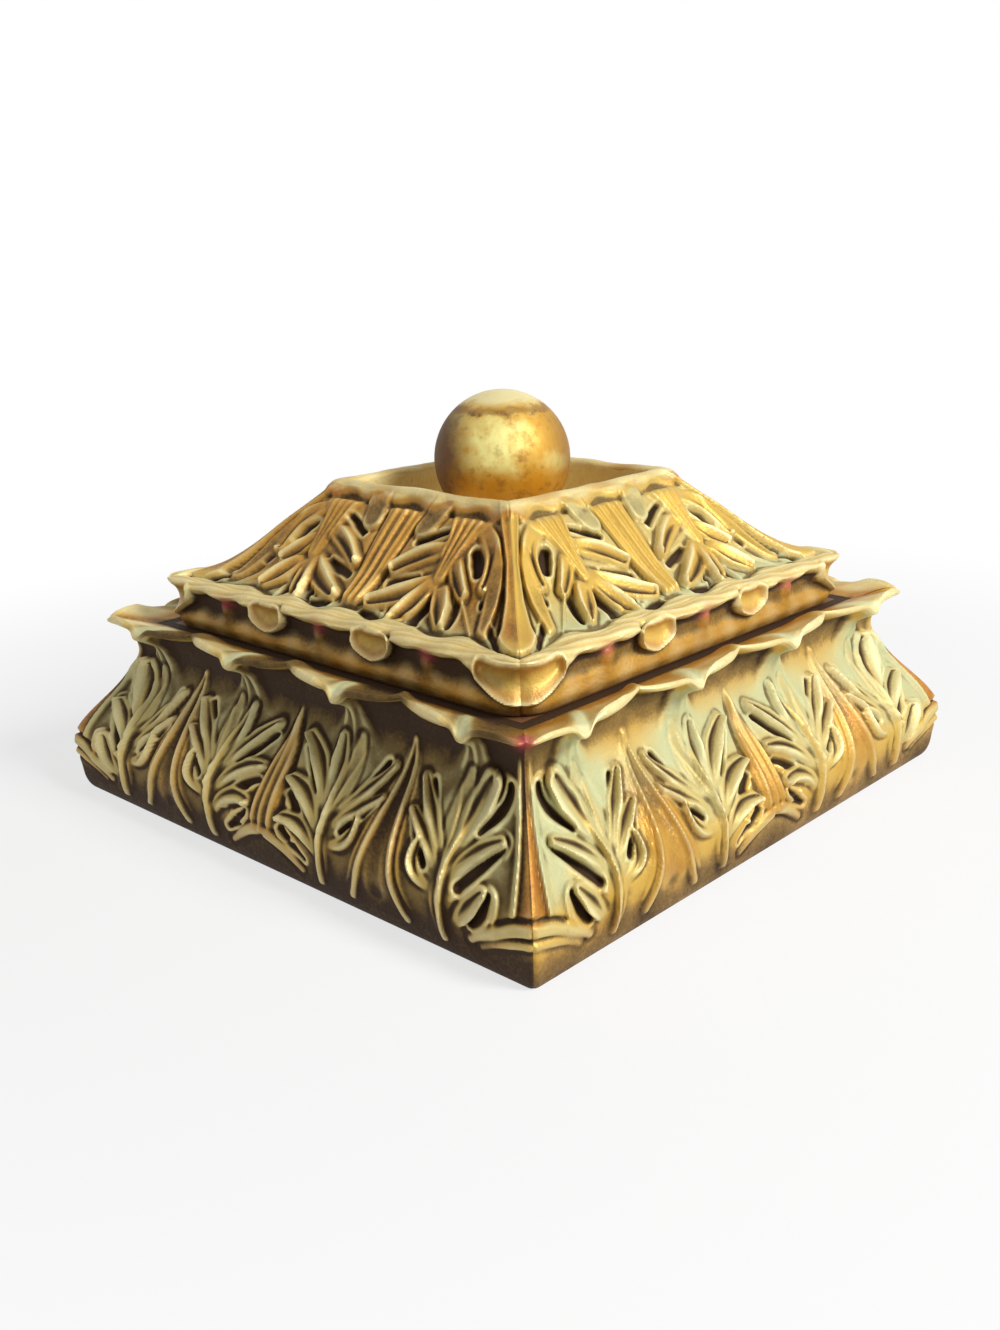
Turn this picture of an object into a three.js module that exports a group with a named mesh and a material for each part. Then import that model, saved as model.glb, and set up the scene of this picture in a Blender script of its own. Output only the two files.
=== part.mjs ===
import * as THREE from 'three';

// A square gilded box with a lift-off lid and a ball knob. Sizes are in millimetres, +Z is up,
// and the box stands on z = 0 with the Z axis through its middle.
// A half is a distance from the middle plane of the box to one side.

// Carved body sides
const footHalf = 72;
const bulbHalf = 75;
const bulbHeight = 10.3;
const waistHalf = 62.9;
const waistHeight = 34.3;
const rimHalf = 66.7;
const rimHeight = 41.9;
const rimSetBack = 1.9;
const rimSwell = 2.1;
const rimDroop = 1.6;
const leafTipCurl = 1.3;
const beakFullness = 1.4;
const cavityHalf = 52;
const seatHalf = 57.5;
const seatHeight = 40;

// Bottom panel, floor lining and the baize under the panel
const rebateHalf = 60;
const panelTop = 5.6;
const panelThickness = 4.2;
const liningThickness = 1.2;
const baizeThickness = 0.8;
const looseFit = 0.3;

// Carved lid sides
const lidSeatGap = 0.3;
const lidUndersideHalf = 55.4;
const lidHollowHalf = 46.5;
const lidHollowEdge = 3.4;
const borderHalf = 57.6;
const borderSwell = 0.9;
const borderFootHalf = 55.7;
const borderFootHeight = 40.8;
const borderTurnHeight = 43.6;
const crestHalf = 57;
const crestHeight = 50.3;
const gutterHalf = 53.4;
const gutterHeight = 51.2;
const slopeMiddleHalf = 40;
const slopeMiddleHeight = 60;
const borderRounding = 9;
const slopeRounding = 1;
const topFrameHalf = 28;
const topFrameHeight = 71.8;

// Recess at the top of the lid, and the panel that forms its floor
const recessHalf = 24.4;
const recessFloor = 61;
const topPanelHalf = 27.2;
const topPanelThickness = 4;

// Lip strips that locate the lid in the opening
const lipClearance = 0.6;
const lipThickness = 3;
const lipDepth = 5;

// Ball knob, its screw and washer
const ballRadius = 15.5;
const ballSeatRadius = 4.2;
const screwRadius = 2;
const screwReach = 14;
const screwHeadRadius = 4;
const screwHeadHeight = 2.5;
const washerRadius = 5.4;
const washerThickness = 0.8;

// Levels of the carving, over the deepest hollow. The uncut curve of a side lies at fullLevel.
const fullLevel = 2.5;
const groundLevel = 1.5;
const lobeLevel = 2.6;
const hollowLevel = -0.5;
const shellFloor = 0.6;
const shellRim = 3.1;
const borderFaceLevel = 0.9;

// Facets of a carved face meet at guide points. These stand this far apart along a form, and no two
// are closer than the gap.
const guideStep = 3;
const guideGap = 1.5;
const plainGap = 4.5;

const { clamp, smoothstep, lerp } = THREE.MathUtils;
const point = (half, height) => new THREE.Vector2(half, height);
const fadeOut = (value, low, high) => 1 - smoothstep(value, low, high);

// The outer curve of a body side, from the foot over the bulb and the waist to the rim
function bodyCurve() {
  const bulbFullness = 9;
  const path = new THREE.CurvePath();
  path.add(new THREE.CubicBezierCurve(
    point(footHalf, 0),
    point(lerp(footHalf, bulbHalf, 0.65), bulbHeight * 0.2),
    point(bulbHalf, bulbHeight * 0.6),
    point(bulbHalf, bulbHeight),
  ));
  path.add(new THREE.CubicBezierCurve(
    point(bulbHalf, bulbHeight),
    point(bulbHalf, bulbHeight + bulbFullness),
    point(waistHalf, waistHeight - bulbFullness),
    point(waistHalf, waistHeight),
  ));
  path.add(new THREE.CubicBezierCurve(
    point(waistHalf, waistHeight),
    point(waistHalf, lerp(waistHeight, rimHeight, 0.55)),
    point(lerp(waistHalf, rimHalf, 0.4), lerp(waistHeight, rimHeight, 0.9)),
    point(rimHalf, rimHeight),
  ));
  return path;
}

// The outer curve of a lid side, from the border's foot over its crest and up the slope
function lidCurve() {
  const path = new THREE.CurvePath();
  path.add(new THREE.LineCurve(
    point(borderFootHalf, borderFootHeight),
    point(borderHalf - borderSwell, borderTurnHeight),
  ));
  path.add(new THREE.CubicBezierCurve(
    point(borderHalf - borderSwell, borderTurnHeight),
    point(borderHalf, lerp(borderTurnHeight, crestHeight, 0.3)),
    point(borderHalf, lerp(borderTurnHeight, crestHeight, 0.7)),
    point(crestHalf, crestHeight),
  ));
  path.add(new THREE.QuadraticBezierCurve(
    point(crestHalf, crestHeight),
    point(lerp(crestHalf, gutterHalf, 0.4), crestHeight + 1.6),
    point(gutterHalf, gutterHeight),
  ));
  path.add(new THREE.QuadraticBezierCurve(
    point(gutterHalf, gutterHeight),
    point(lerp(gutterHalf, slopeMiddleHalf, 0.55), lerp(gutterHeight, slopeMiddleHeight, 0.3)),
    point(slopeMiddleHalf, slopeMiddleHeight),
  ));
  path.add(new THREE.LineCurve(
    point(slopeMiddleHalf, slopeMiddleHeight),
    point(topFrameHalf, topFrameHeight),
  ));
  return path;
}

// A carved form follows a spine from its root over a bend to its tip, each [across, up] in
// millimetres, and its half width grows or shrinks evenly from root to tip. The cut gives its level
// from q, which is 0 on the spine and 1 at the edge, the share of the spine and the level before it.
// Facets meet along the spine and along both sides at each q in the rings.
class Form {
  constructor([root, bend, tip], rootHalfWidth, tipHalfWidth, cut, rings = [1.15]) {
    this.curve = new THREE.QuadraticBezierCurve(point(...root), point(...bend), point(...tip));
    this.knots = this.curve.getPoints(6);
    this.halfWidthAt = (share) => lerp(rootHalfWidth, tipHalfWidth, share);
    this.cut = cut;
    this.rings = rings;
  }

  nearest(across, up) {
    const place = point(across, up);
    let nearest = Infinity;
    let share = 0;
    for (let number = 0; number < this.knots.length - 1; number += 1) {
      const run = this.knots[number + 1].clone().sub(this.knots[number]);
      const offset = place.clone().sub(this.knots[number]);
      const part = clamp(offset.dot(run) / run.lengthSq(), 0, 1);
      const away = offset.addScaledVector(run, -part).length();
      if (away < nearest) {
        nearest = away;
        share = (number + part) / (this.knots.length - 1);
      }
    }
    return { q: nearest / this.halfWidthAt(share), share };
  }

  level(across, up, before) {
    const { q, share } = this.nearest(across, up);
    return this.cut(q, share, before);
  }

  covers(across, up) {
    return this.rings.length > 0 && this.nearest(across, up).q < 1;
  }

  guides() {
    const steps = Math.ceil(this.curve.getLength() / guideStep);
    const shares = Array.from({ length: steps + 1 }, (_, step) => step / steps);
    return [0, ...this.rings.flatMap((q) => [-q, q])].flatMap((q) => shares.map((share) => {
      const middle = this.curve.getPoint(share);
      const tangent = this.curve.getTangent(share);
      const reach = q * this.halfWidthAt(share);
      return [middle.x - tangent.y * reach, middle.y + tangent.x * reach];
    }));
  }
}

// A hollow between lobes, cut down to a floor level
function hollow(points, halfWidth, floor = hollowLevel) {
  return new Form(points, halfWidth, halfWidth, (q, share, before) => (
    lerp(before, Math.min(before, floor), fadeOut(q, 0.3, 1.15))), []);
}

// A leaf lobe, rounded across, that widens from its root to its tip
function lobe(points, halfWidth, crest = lobeLevel, fall = 0.8) {
  return new Form(points, 0.55 * halfWidth, halfWidth, (q, share, before) => (
    lerp(before, crest - fall * q ** 2, fadeOut(q, 0.85, 1.15) * smoothstep(share, 0, 0.2))));
}

// A rounded ridge laid on what is there
function ridge(points, halfWidth, tall) {
  return new Form(points, halfWidth, halfWidth, (q, share, before) => (
    before + tall * Math.max(0, 1 - q ** 2)));
}

// A tongue is domed across and narrows upward from its foot to a point
function tongue(foot, top, footHalfWidth, crest) {
  return new Form([[0, foot], [0, (foot + top) / 2], [0, top]], footHalfWidth, 0.8, (q, share, before) => (
    lerp(before, crest - 0.6 * q ** 2, fadeOut(q, 0.85, 1.15) * fadeOut(share, 0.93, 1))));
}

// A dished shell with a raised rim
function shell(points, halfWidth) {
  return new Form(points, halfWidth, halfWidth, (q, share, before) => (
    lerp(before, shellFloor + (shellRim - shellFloor) * q ** 2, fadeOut(q, 0.95, 1.2))), [0.95, 1.3]);
}

// Forms are measured across from a place along the side, or back from the mitre
function beside(place, toward, forms) {
  return {
    forms,
    across: (side) => toward * (side - place),
    side: (across) => place + toward * across,
  };
}

function fromMitre(forms) {
  return {
    forms,
    across: (side, half) => half - side,
    side: (across, half) => half - across,
  };
}

function carve(groups, side, half, up, ground) {
  let level = ground;
  for (const { forms, across } of groups) {
    for (const form of forms) {
      level = form.level(across(side, half), up, level);
    }
  }
  return level;
}

// Each body side has two leaves to each side of its middle, with a flared tongue between them.
// Places are measured along the side from its middle.
const middleLeafPlace = 0.245 * bulbHalf;
const cornerLeafPlace = 0.69 * bulbHalf;
const flarePlace = 0.461 * bulbHalf;
const flareHalfWidth = 7.5;

// Forms of a leaf, measured from its stem toward its open lobes. The tight lobes are alike on all.
const tightForms = [
  hollow([[-10.4, 32], [-9.4, 29.6], [-6.8, 26]], 1.2, 0),
  hollow([[-11.6, 24.6], [-8.6, 21], [-5.2, 17]], 1.4, 0),
  lobe([[-1.4, 19.5], [-6.6, 24], [-12.4, 32.4]], 1.5),
  lobe([[-1.6, 17], [-6.4, 21.4], [-12.3, 26]], 1.4),
  lobe([[-1.8, 13.6], [-9, 14], [-8.4, 20.4]], 1.3),
];
const stem = ridge([[0.6, 4.4], [-0.8, 17], [0.9, 29.5]], 1.1, 1.4);
const cornerLeafForms = [
  hollow([[8.2, 35.4], [9, 31.4], [4.4, 26.6]], 1.5),
  hollow([[10.9, 24.8], [8.4, 20.6], [4.4, 15.6]], 1.6),
  hollow([[11.5, 16.2], [11.6, 12], [8.2, 9.4]], 1.8),
  lobe([[-1.4, 21], [-3, 29], [-1.6, 36]], 1.9, 2.2, 0.5),
  ...tightForms,
  lobe([[0.6, 20], [1.2, 28], [3.4, 35.2]], 2.8),
  lobe([[1, 16], [4, 22.6], [9.6, 25.6]], 1.7),
  lobe([[3.6, 7.6], [6.6, 11.6], [9.8, 16.2]], 1.7),
  stem,
];
const middleLeafForms = [
  hollow([[13, 30.4], [9.4, 27.6], [5.4, 22.8]], 1.5),
  hollow([[13.2, 20.4], [9.8, 18.6], [5, 13.4]], 1.5),
  hollow([[12.4, 12.6], [9.4, 9.8], [6, 7.6]], 1.7),
  lobe([[-1.2, 20], [-2.6, 27], [-1.6, 35.4]], 1.9, 2.2, 0.5),
  ...tightForms,
  lobe([[0.4, 20], [2.4, 28], [3.4, 34.6]], 2, 2.4),
  lobe([[0.8, 18], [5.4, 28], [13, 32.8]], 1.7),
  lobe([[0.8, 14], [5.6, 22.6], [13.4, 23.4]], 1.7),
  lobe([[0.6, 8.4], [4.6, 17.4], [12.6, 15.4]], 1.7),
  stem,
];

// A bar curls over the foot of the tongue in the middle and of the one at the mitre
const bodyForms = [
  beside(flarePlace, 1, [tongue(9, 37, flareHalfWidth, 2)]),
  beside(0, 1, [tongue(10, 37, 5.6, 2.3)]),
  fromMitre([tongue(13, 43, 5.2, 2)]),
  beside(middleLeafPlace, -1, middleLeafForms),
  beside(cornerLeafPlace, 1, cornerLeafForms),
  beside(0, 1, [lobe([[-1, 10.5], [5.4, 11.2], [11.4, 4.6]], 1.3, 2.7)]),
  fromMitre([lobe([[-2, 13.2], [6.4, 13.2], [15.2, 6.2]], 1.8, 2.7)]),
];

// Leaf webs rise from the waist to the rim between scooped hollows
const webPlaces = [0.26 * rimHalf, 0.762 * rimHalf];
const webHalfWidth = 3.4;
const scoopDepth = 1.2;

// Level of the carving of a body side, at a distance along the side and up the curve. It is full at
// the foot, so that the box stands flat.
function bodyCarving(side, up, half) {
  const nearWeb = Math.min(...webPlaces.map((place) => Math.abs(side - place)));
  const webWidth = webHalfWidth * lerp(3, 1, smoothstep(up, 28, 40));
  const belowRim = smoothstep(up, 32.5, 40) * fadeOut(up, 42.5, 46);
  const scoop = belowRim * smoothstep(nearWeb, 0.55 * webWidth, webWidth + 1.6);
  const ground = groundLevel - 0.6 * fadeOut(up, 4, 7.5) + 0.4 * smoothstep(up, 34, 40);
  const carved = carve(bodyForms, side, half, up, ground) - scoopDepth * scoop;
  return lerp(fullLevel, carved, smoothstep(up, 0, 4));
}

// The rim hangs in festoons between cusps. Halfway along each a leaf tip curls over it, and each
// mitre has a rounded beak, which is thicker than the rim beside it.
function rimShape(side) {
  const cusps = rimHalf * 0.515;
  const share = (side / cusps) % 1;
  const corner = rimHalf - side;
  const hang = 1 - Math.abs(2 * share - 1) ** 3;
  const tip = Math.exp(-(((share - 0.5) * cusps / 2.3) ** 2));
  const beak = Math.exp(-((corner / 4) ** 2));
  const rounding = Math.exp(-((corner / 1.5) ** 2));
  return {
    out: rimSwell * hang + 0.5 * tip + 0.9 * beak - 0.9 * rounding - rimSetBack,
    down: rimDroop * hang + leafTipCurl * tip + 0.7 * beak,
    bowl: Math.abs(Math.sin(2 * Math.PI * share)) ** 0.7 * (1 - 0.8 * tip),
    tip,
    beak,
  };
}

// Leaf forms of a lid side
const lidLeafPlace = 20;
const lidForms = [
  beside(lidLeafPlace, 1, [
    hollow([[-4.4, 36.8], [-8, 35.2], [-11.4, 33]], 1.3),
    hollow([[-6, 25.2], [-9.5, 24], [-13.4, 22.6]], 1.4),
    hollow([[5.6, 33], [7.6, 31.2], [8.8, 28.8]], 2),
    hollow([[15.6, 27], [15.2, 24.2], [14.6, 22.8]], 1.8),
    hollow([[1.4, 21.5], [0.6, 17.5], [0.8, 13.6]], 2),
    hollow([[-8.2, 20.6], [-6.8, 17], [-7.4, 13.8]], 1.3),
    hollow([[7, 23.4], [9.2, 19.6], [9.8, 16]], 1.3),
    lobe([[-1, 32.5], [-6.4, 32], [-13.2, 26]], 2.1),
    lobe([[-0.4, 26.5], [-4.6, 20.6], [-13.6, 17]], 2.4),
    lobe([[-0.4, 26], [-1.6, 20], [-4, 14.2]], 2.2),
    lobe([[3, 39], [12.4, 34.4], [12.6, 26.4]], 1.9),
    lobe([[1, 31.5], [3.6, 27], [8.2, 23.4]], 1.7),
    lobe([[1.2, 25.5], [4.2, 20.4], [7.9, 15.6]], 2.1),
    lobe([[0.2, 25], [-0.2, 34], [0.2, 41]], 3.4, 2.5, 0.4),
  ]),
  beside(0, 1, [
    tongue(16, 42, 3, 2.2),
    lobe([[8.4, 36.6], [9.2, 39.6], [10.2, 43]], 2.8, 2.8),
  ]),
  fromMitre([
    hollow([[8.2, 19.4], [6.6, 15.6], [5, 12.6]], 1.7),
    hollow([[-1, 10.5], [2.6, 10.8], [5, 12.4]], 1.3, 0),
    lobe([[2, 37], [4.6, 27], [9.6, 16.4]], 1.8),
    tongue(14, 42, 4.6, 2.6),
  ]),
];

// The lid's border is a sheet of leaf that hangs over a hollow face, with a fold in the middle and
// one to each side. Under each notch of the sheet stands a dished shell, and a wide one wraps each
// corner. Up is measured from where the border turns upward.
const sheetEdge = 7;
const sheetTop = 11;
const frameEdge = 40.7;
const foldPlace = 32.4;
const notchPlace = 16.8;
const shellForms = [
  beside(notchPlace, 1, [shell([[-2.2, 4.6], [0, 3.6], [2.2, 4.6]], 3.1)]),
  fromMitre([shell([[-1, 3.2], [4, 3], [8.8, 4.4]], 3.4)]),
];

function lidBorder(side, up, before) {
  const fold = Math.exp(-((side / 1.8) ** 2)) + Math.exp(-(((side - foldPlace) / 2) ** 2));
  const notch = Math.exp(-(((side - notchPlace) / 2) ** 4));
  const edge = sheetEdge + 1.9 * notch - 0.6 * fold;
  const sheet = smoothstep(up, edge - 0.9, edge + 0.9) * fadeOut(up, sheetTop, sheetTop + 3);
  const face = borderFaceLevel + 1.7 * fadeOut(up, -1.8, 2.4) + 1.1 * fold;
  const level = lerp(before, fullLevel, sheet);
  return lerp(level, Math.min(face, fullLevel), fadeOut(up, edge - 0.9, edge + 0.5));
}

// Level of the carving of a lid side
function lidCarving(side, up, half) {
  const upperSlope = smoothstep(up, 22, 30) * fadeOut(up, frameEdge - 0.7, frameEdge);
  const ground = 1.1 - 0.3 * smoothstep(up, 12, 20) + 0.9 * upperSlope;
  const border = lidBorder(side, up, carve(lidForms, side, half, up, ground));
  const frame = smoothstep(up, frameEdge - 0.7, frameEdge + 0.7);
  return lerp(carve(shellForms, side, half, up, border), fullLevel, frame);
}

// A mesh under construction
class Mesh {
  positions = [];
  triangles = [];

  // Adds a point of a side that runs along Y at +X: t is -1 and 1 at its mitres
  add(t, half, height) {
    this.positions.push(half, t * half, height);
    return { t, index: this.positions.length / 3 - 1, half, height };
  }

  distance(from, to) {
    const along = [0, 1, 2];
    return Math.hypot(...along.map((axis) => (
      this.positions[3 * from.index + axis] - this.positions[3 * to.index + axis])));
  }

  // Triangles between two rows of points that may stand at different places along the side
  join(lower, upper) {
    let a = 0;
    let b = 0;
    while (a < lower.length - 1 || b < upper.length - 1) {
      let stepLower = b === upper.length - 1 || (a < lower.length - 1 && lower[a + 1].t < upper[b + 1].t);
      if (a < lower.length - 1 && b < upper.length - 1 && lower[a + 1].t === upper[b + 1].t) {
        stepLower = this.distance(lower[a + 1], upper[b]) < this.distance(lower[a], upper[b + 1]);
      }
      if (stepLower) {
        this.triangles.push(lower[a].index, lower[a + 1].index, upper[b].index);
        a += 1;
      } else {
        this.triangles.push(lower[a].index, upper[b + 1].index, upper[b].index);
        b += 1;
      }
    }
  }

  // The flat mitre face at one end of a side
  cap(corners, reversed) {
    const outline = corners.map(({ half, height }) => point(half, height));
    for (const [a, b, c] of THREE.ShapeUtils.triangulateShape(outline, [])) {
      const [first, last] = reversed ? [c, a] : [a, c];
      this.triangles.push(corners[first].index, corners[b].index, corners[last].index);
    }
  }

  geometry() {
    const geometry = new THREE.BufferGeometry();
    geometry.setAttribute('position', new THREE.Float32BufferAttribute(this.positions, 3));
    geometry.setIndex(this.triangles);
    geometry.computeVertexNormals();
    return geometry;
  }
}

// Whether a place lies in the circle through three others that stand anticlockwise
function inCircle(triangle, place) {
  const [a, b, c] = triangle.map((corner) => corner.clone().sub(place));
  const determinant = a.lengthSq() * b.cross(c) + b.lengthSq() * c.cross(a) + c.lengthSq() * a.cross(b);
  return determinant > 1e-9;
}

// Delaunay triangles over places in a rectangle, whose four corners come first, anticlockwise.
// Each further place replaces the triangles whose circles hold it by a fan round it.
function triangulate(places) {
  let triangles = [[0, 1, 2], [0, 2, 3]];
  for (let added = 4; added < places.length; added += 1) {
    const place = places[added];
    const hit = new Set(triangles.filter((triangle) => (
      inCircle(triangle.map((corner) => places[corner]), place))));
    const edges = [...hit].flatMap(([a, b, c]) => [[a, b], [b, c], [c, a]]);
    const outer = edges.filter(([a, b]) => !edges.some(([c, d]) => c === b && d === a));
    const fan = outer.filter(([a, b]) => (
      places[a].clone().sub(place).cross(places[b].clone().sub(place)) > 1e-9));
    triangles = triangles.filter((triangle) => !hit.has(triangle));
    triangles.push(...fan.map(([a, b]) => [a, b, added]));
  }
  return triangles;
}

// Guide points of the half of a carved face at +Y, as [side, up]: its border, the rows given, the
// forms from the last carved to the first, and a coarse filling
function guidePoints({ halfAt, length, groups, footColumns, topColumns, mitreRows, rows }) {
  const places = [];
  const add = (side, up, gap) => {
    const t = side / halfAt(up);
    const place = point(t * bulbHalf, up);
    const inside = t > 0.01 && t < 0.99 && up > gap / 2 && up < length - gap / 2;
    if (inside && places.every((other) => other.distanceTo(place) >= gap)) {
      places.push(place);
    }
  };
  const addBorder = (t, up) => places.push(point(t * bulbHalf, up));
  addBorder(0, 0);
  addBorder(1, 0);
  addBorder(1, length);
  addBorder(0, length);
  for (let column = 1; column < footColumns; column += 1) {
    addBorder(column / footColumns, 0);
  }
  for (let column = 1; column < topColumns; column += 1) {
    addBorder(column / topColumns, length);
  }
  for (let row = 1; row < mitreRows; row += 1) {
    addBorder(0, length * row / mitreRows);
    addBorder(1, length * row / mitreRows);
  }
  const laid = groups.flatMap((group) => group.forms.map((form) => ({ form, ...group }))).toReversed();
  laid.forEach(({ form, side, lift = 0 }, number) => {
    for (const [across, up] of form.guides()) {
      const rise = clamp(up + lift, 0, length);
      const place = side(across, halfAt(rise));
      const covered = laid.slice(0, number).some((over) => (
        over.form.covers(over.across(place, halfAt(rise)), rise - lift)));
      if (!covered) {
        add(place, rise, guideGap);
      }
    }
  });
  for (const { up, columns } of rows) {
    for (let column = 1; column < columns; column += 1) {
      add(halfAt(up) * column / columns, up, guideGap);
    }
  }
  for (let up = 0; up < length; up += plainGap) {
    for (let side = 0; side < halfAt(up); side += plainGap) {
      add(side, up, plainGap * 0.8);
    }
  }
  return places;
}

// The carved face of a side: its half at +Y, and the mirror image of it at -Y. It gives back the
// points along its foot, its top and its two mitres.
function addCarvedFace(mesh, face) {
  const places = guidePoints(face);
  const made = new Map();
  const vertex = (number, sign) => {
    const t = sign * places[number].x / bulbHalf || 0;
    const rise = places[number].y / face.length;
    const key = `${t} ${rise}`;
    if (!made.has(key)) {
      made.set(key, { ...mesh.add(t, ...face.outline(Math.abs(t), rise)), rise });
    }
    return made.get(key).index;
  };
  for (const [a, b, c] of triangulate(places)) {
    mesh.triangles.push(vertex(a, 1), vertex(b, 1), vertex(c, 1));
    mesh.triangles.push(vertex(a, -1), vertex(c, -1), vertex(b, -1));
  }
  const points = [...made.values()];
  const along = (rise) => points.filter((p) => p.rise === rise).sort((p, q) => p.t - q.t);
  const upward = (t) => points.filter((p) => p.t === t).sort((p, q) => p.rise - q.rise);
  return { foot: along(0), top: along(1), start: upward(-1), end: upward(1) };
}

// The closed section of a side is a carved face, if it has one, and rows of points that run on from
// its top and back to its foot. A row is a function that gives [half, height] at t, with as many
// points as the face has along its top or foot edge. A plain row is straight, from end to end.
function mitredSide(rows, carved) {
  const mesh = new Mesh();
  const face = carved ? addCarvedFace(mesh, carved) : null;
  const rings = rows.map(({ at, edge }) => {
    const places = edge ? face[edge].map(({ t }) => t) : [-1, 1];
    return places.map((t) => mesh.add(t, ...at(Math.abs(t))));
  });
  const loop = face ? [face.top, ...rings, face.foot] : [...rings, rings[0]];
  for (let number = 0; number < loop.length - 1; number += 1) {
    mesh.join(loop[number], loop[number + 1]);
  }
  mesh.cap([...(face ? face.start : []), ...rings.map((ring) => ring[0])], false);
  mesh.cap([...(face ? face.end : []), ...rings.map((ring) => ring.at(-1))], true);
  return mesh.geometry();
}

function plainRow(half, height) {
  return { at: () => [half, height] };
}

// The description of a carved face, from its curve, its groups of forms and its level at a place.
// Its outline gives [half, height] at t and rise, which runs from 0 at the foot to 1 at the top.
function carvedFace(curve, groups, levelAt, guides) {
  const length = curve.getLength();
  const outline = (t, rise) => {
    const middle = curve.getPointAt(rise);
    const tangent = curve.getTangentAt(rise);
    const offset = levelAt(t * middle.x, rise * length, middle.x) - fullLevel;
    return [middle.x + tangent.y * offset, middle.y - tangent.x * offset];
  };
  const halfAt = (up) => curve.getPointAt(clamp(up / length, 0, 1)).x;
  return { length, outline, halfAt, groups, ...guides };
}

// One side of the body: carved outside, hollowed rim, ledge for the lid, inner wall and rebate
function bodySide() {
  const rimColumns = 26;
  const face = carvedFace(bodyCurve(), bodyForms, bodyCarving, {
    footColumns: 8,
    topColumns: rimColumns,
    mitreRows: 16,
    rows: [{ up: 45.6, columns: rimColumns }, { up: 43.6, columns: rimColumns }, { up: 3.5, columns: 14 }],
  });
  const outline = (t, rise) => {
    const [half, height] = face.outline(t, rise);
    const share = smoothstep(rise * face.length, 35, face.length) ** 1.5;
    const { out, down, beak } = rimShape(t * rimHalf);
    const belowBeak = smoothstep(rise * face.length, 38, face.length);
    const fullness = beakFullness * beak * Math.sin(Math.PI * belowBeak);
    return [half + share * out + fullness, Math.max(0, height - share * down)];
  };
  const rimRow = (share) => ({
    edge: 'top',
    at: (t) => {
      const { bowl, tip } = rimShape(t * rimHalf);
      const [half, height] = outline(t, 1);
      const crown = 1.1 * (1 - bowl) + 0.6 * tip;
      const swell = (crown - 0.55 * bowl) * Math.sin(Math.PI * share);
      return [lerp(half, seatHalf, share), lerp(height, seatHeight, share) + swell];
    },
  });
  return mitredSide([
    rimRow(0.3),
    rimRow(0.7),
    plainRow(seatHalf, seatHeight),
    plainRow(cavityHalf, seatHeight),
    plainRow(cavityHalf, panelTop),
    plainRow(rebateHalf, panelTop),
    plainRow(rebateHalf, 0),
  ], { ...face, outline });
}

// One side of the lid: carved border and slope, top frame, recess wall, rebate for the top panel,
// sloping underside and the flat face that rests on the body
function lidSide() {
  const borderColumns = 24;
  const foot = Math.hypot(borderHalf - borderSwell - borderFootHalf, borderTurnHeight - borderFootHeight);
  const underside = seatHeight + lidSeatGap;
  const frameTop = topFrameHeight + 0.8;
  const groups = [...lidForms, ...shellForms].map((group) => ({ ...group, lift: foot }));
  const levelAt = (side, up, half) => lidCarving(side, up - foot, half);
  const rounding = (t, half, up) => {
    const radius = lerp(borderRounding, slopeRounding, smoothstep(up, 6, 14));
    return radius * (1 - Math.SQRT1_2) * Math.max(0, 1 - (1 - t) * half / radius) ** 2.4;
  };
  const row = (up, columns) => ({ up: up + foot, columns });
  const borderRows = [-1.2, 0.8, 3.4, 5.6, 7.8, 10.4].map((up) => row(up, borderColumns));
  const face = carvedFace(lidCurve(), groups, levelAt, {
    footColumns: borderColumns,
    topColumns: 8,
    mitreRows: 18,
    rows: [...borderRows, row(frameEdge - 0.7, 12), row(frameEdge + 0.7, 12)],
  });
  const outline = (t, rise) => {
    const [half, height] = face.outline(t, rise);
    return [half - rounding(t, half, rise * face.length - foot), height];
  };
  const undersideEdge = {
    edge: 'foot',
    at: (t) => [lidUndersideHalf - rounding(t, lidUndersideHalf, 0), underside],
  };
  return mitredSide([
    plainRow(lerp(topFrameHalf, recessHalf, 0.4), frameTop),
    plainRow(recessHalf, topFrameHeight),
    plainRow(recessHalf, recessFloor),
    plainRow(topPanelHalf, recessFloor),
    plainRow(topPanelHalf, recessFloor - topPanelThickness),
    plainRow(lidHollowHalf, underside + lidHollowEdge),
    plainRow(lidHollowHalf, underside),
    undersideEdge,
  ], { ...face, outline });
}

// A lip strip is a plain mitred strip glued under a lid side, standing into the opening
function lipStrip() {
  const outer = cavityHalf - lipClearance;
  const inner = outer - lipThickness;
  const top = seatHeight + lidSeatGap;
  return mitredSide([
    plainRow(inner, top - lipDepth),
    plainRow(outer, top - lipDepth),
    plainRow(outer, top),
    plainRow(inner, top),
  ]);
}

// A square board lying flat, with its underside at z = 0 and an optional round hole in the middle
function board(half, thickness, holeRadius) {
  const shape = new THREE.Shape([
    point(-half, -half),
    point(half, -half),
    point(half, half),
    point(-half, half),
  ]);
  if (holeRadius > 0) {
    shape.holes.push(new THREE.Path().absarc(0, 0, holeRadius, 0, 2 * Math.PI, true));
  }
  return new THREE.ExtrudeGeometry(shape, { depth: thickness, bevelEnabled: false, curveSegments: 16 });
}

// A turned piece, from a profile of [radius, height] points, stood upright on the Z axis
function turned(profile, segments) {
  const outline = profile.map(([radius, height]) => point(radius, height));
  const geometry = new THREE.LatheGeometry(outline, segments);
  geometry.rotateX(Math.PI / 2);
  return geometry;
}

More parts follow.
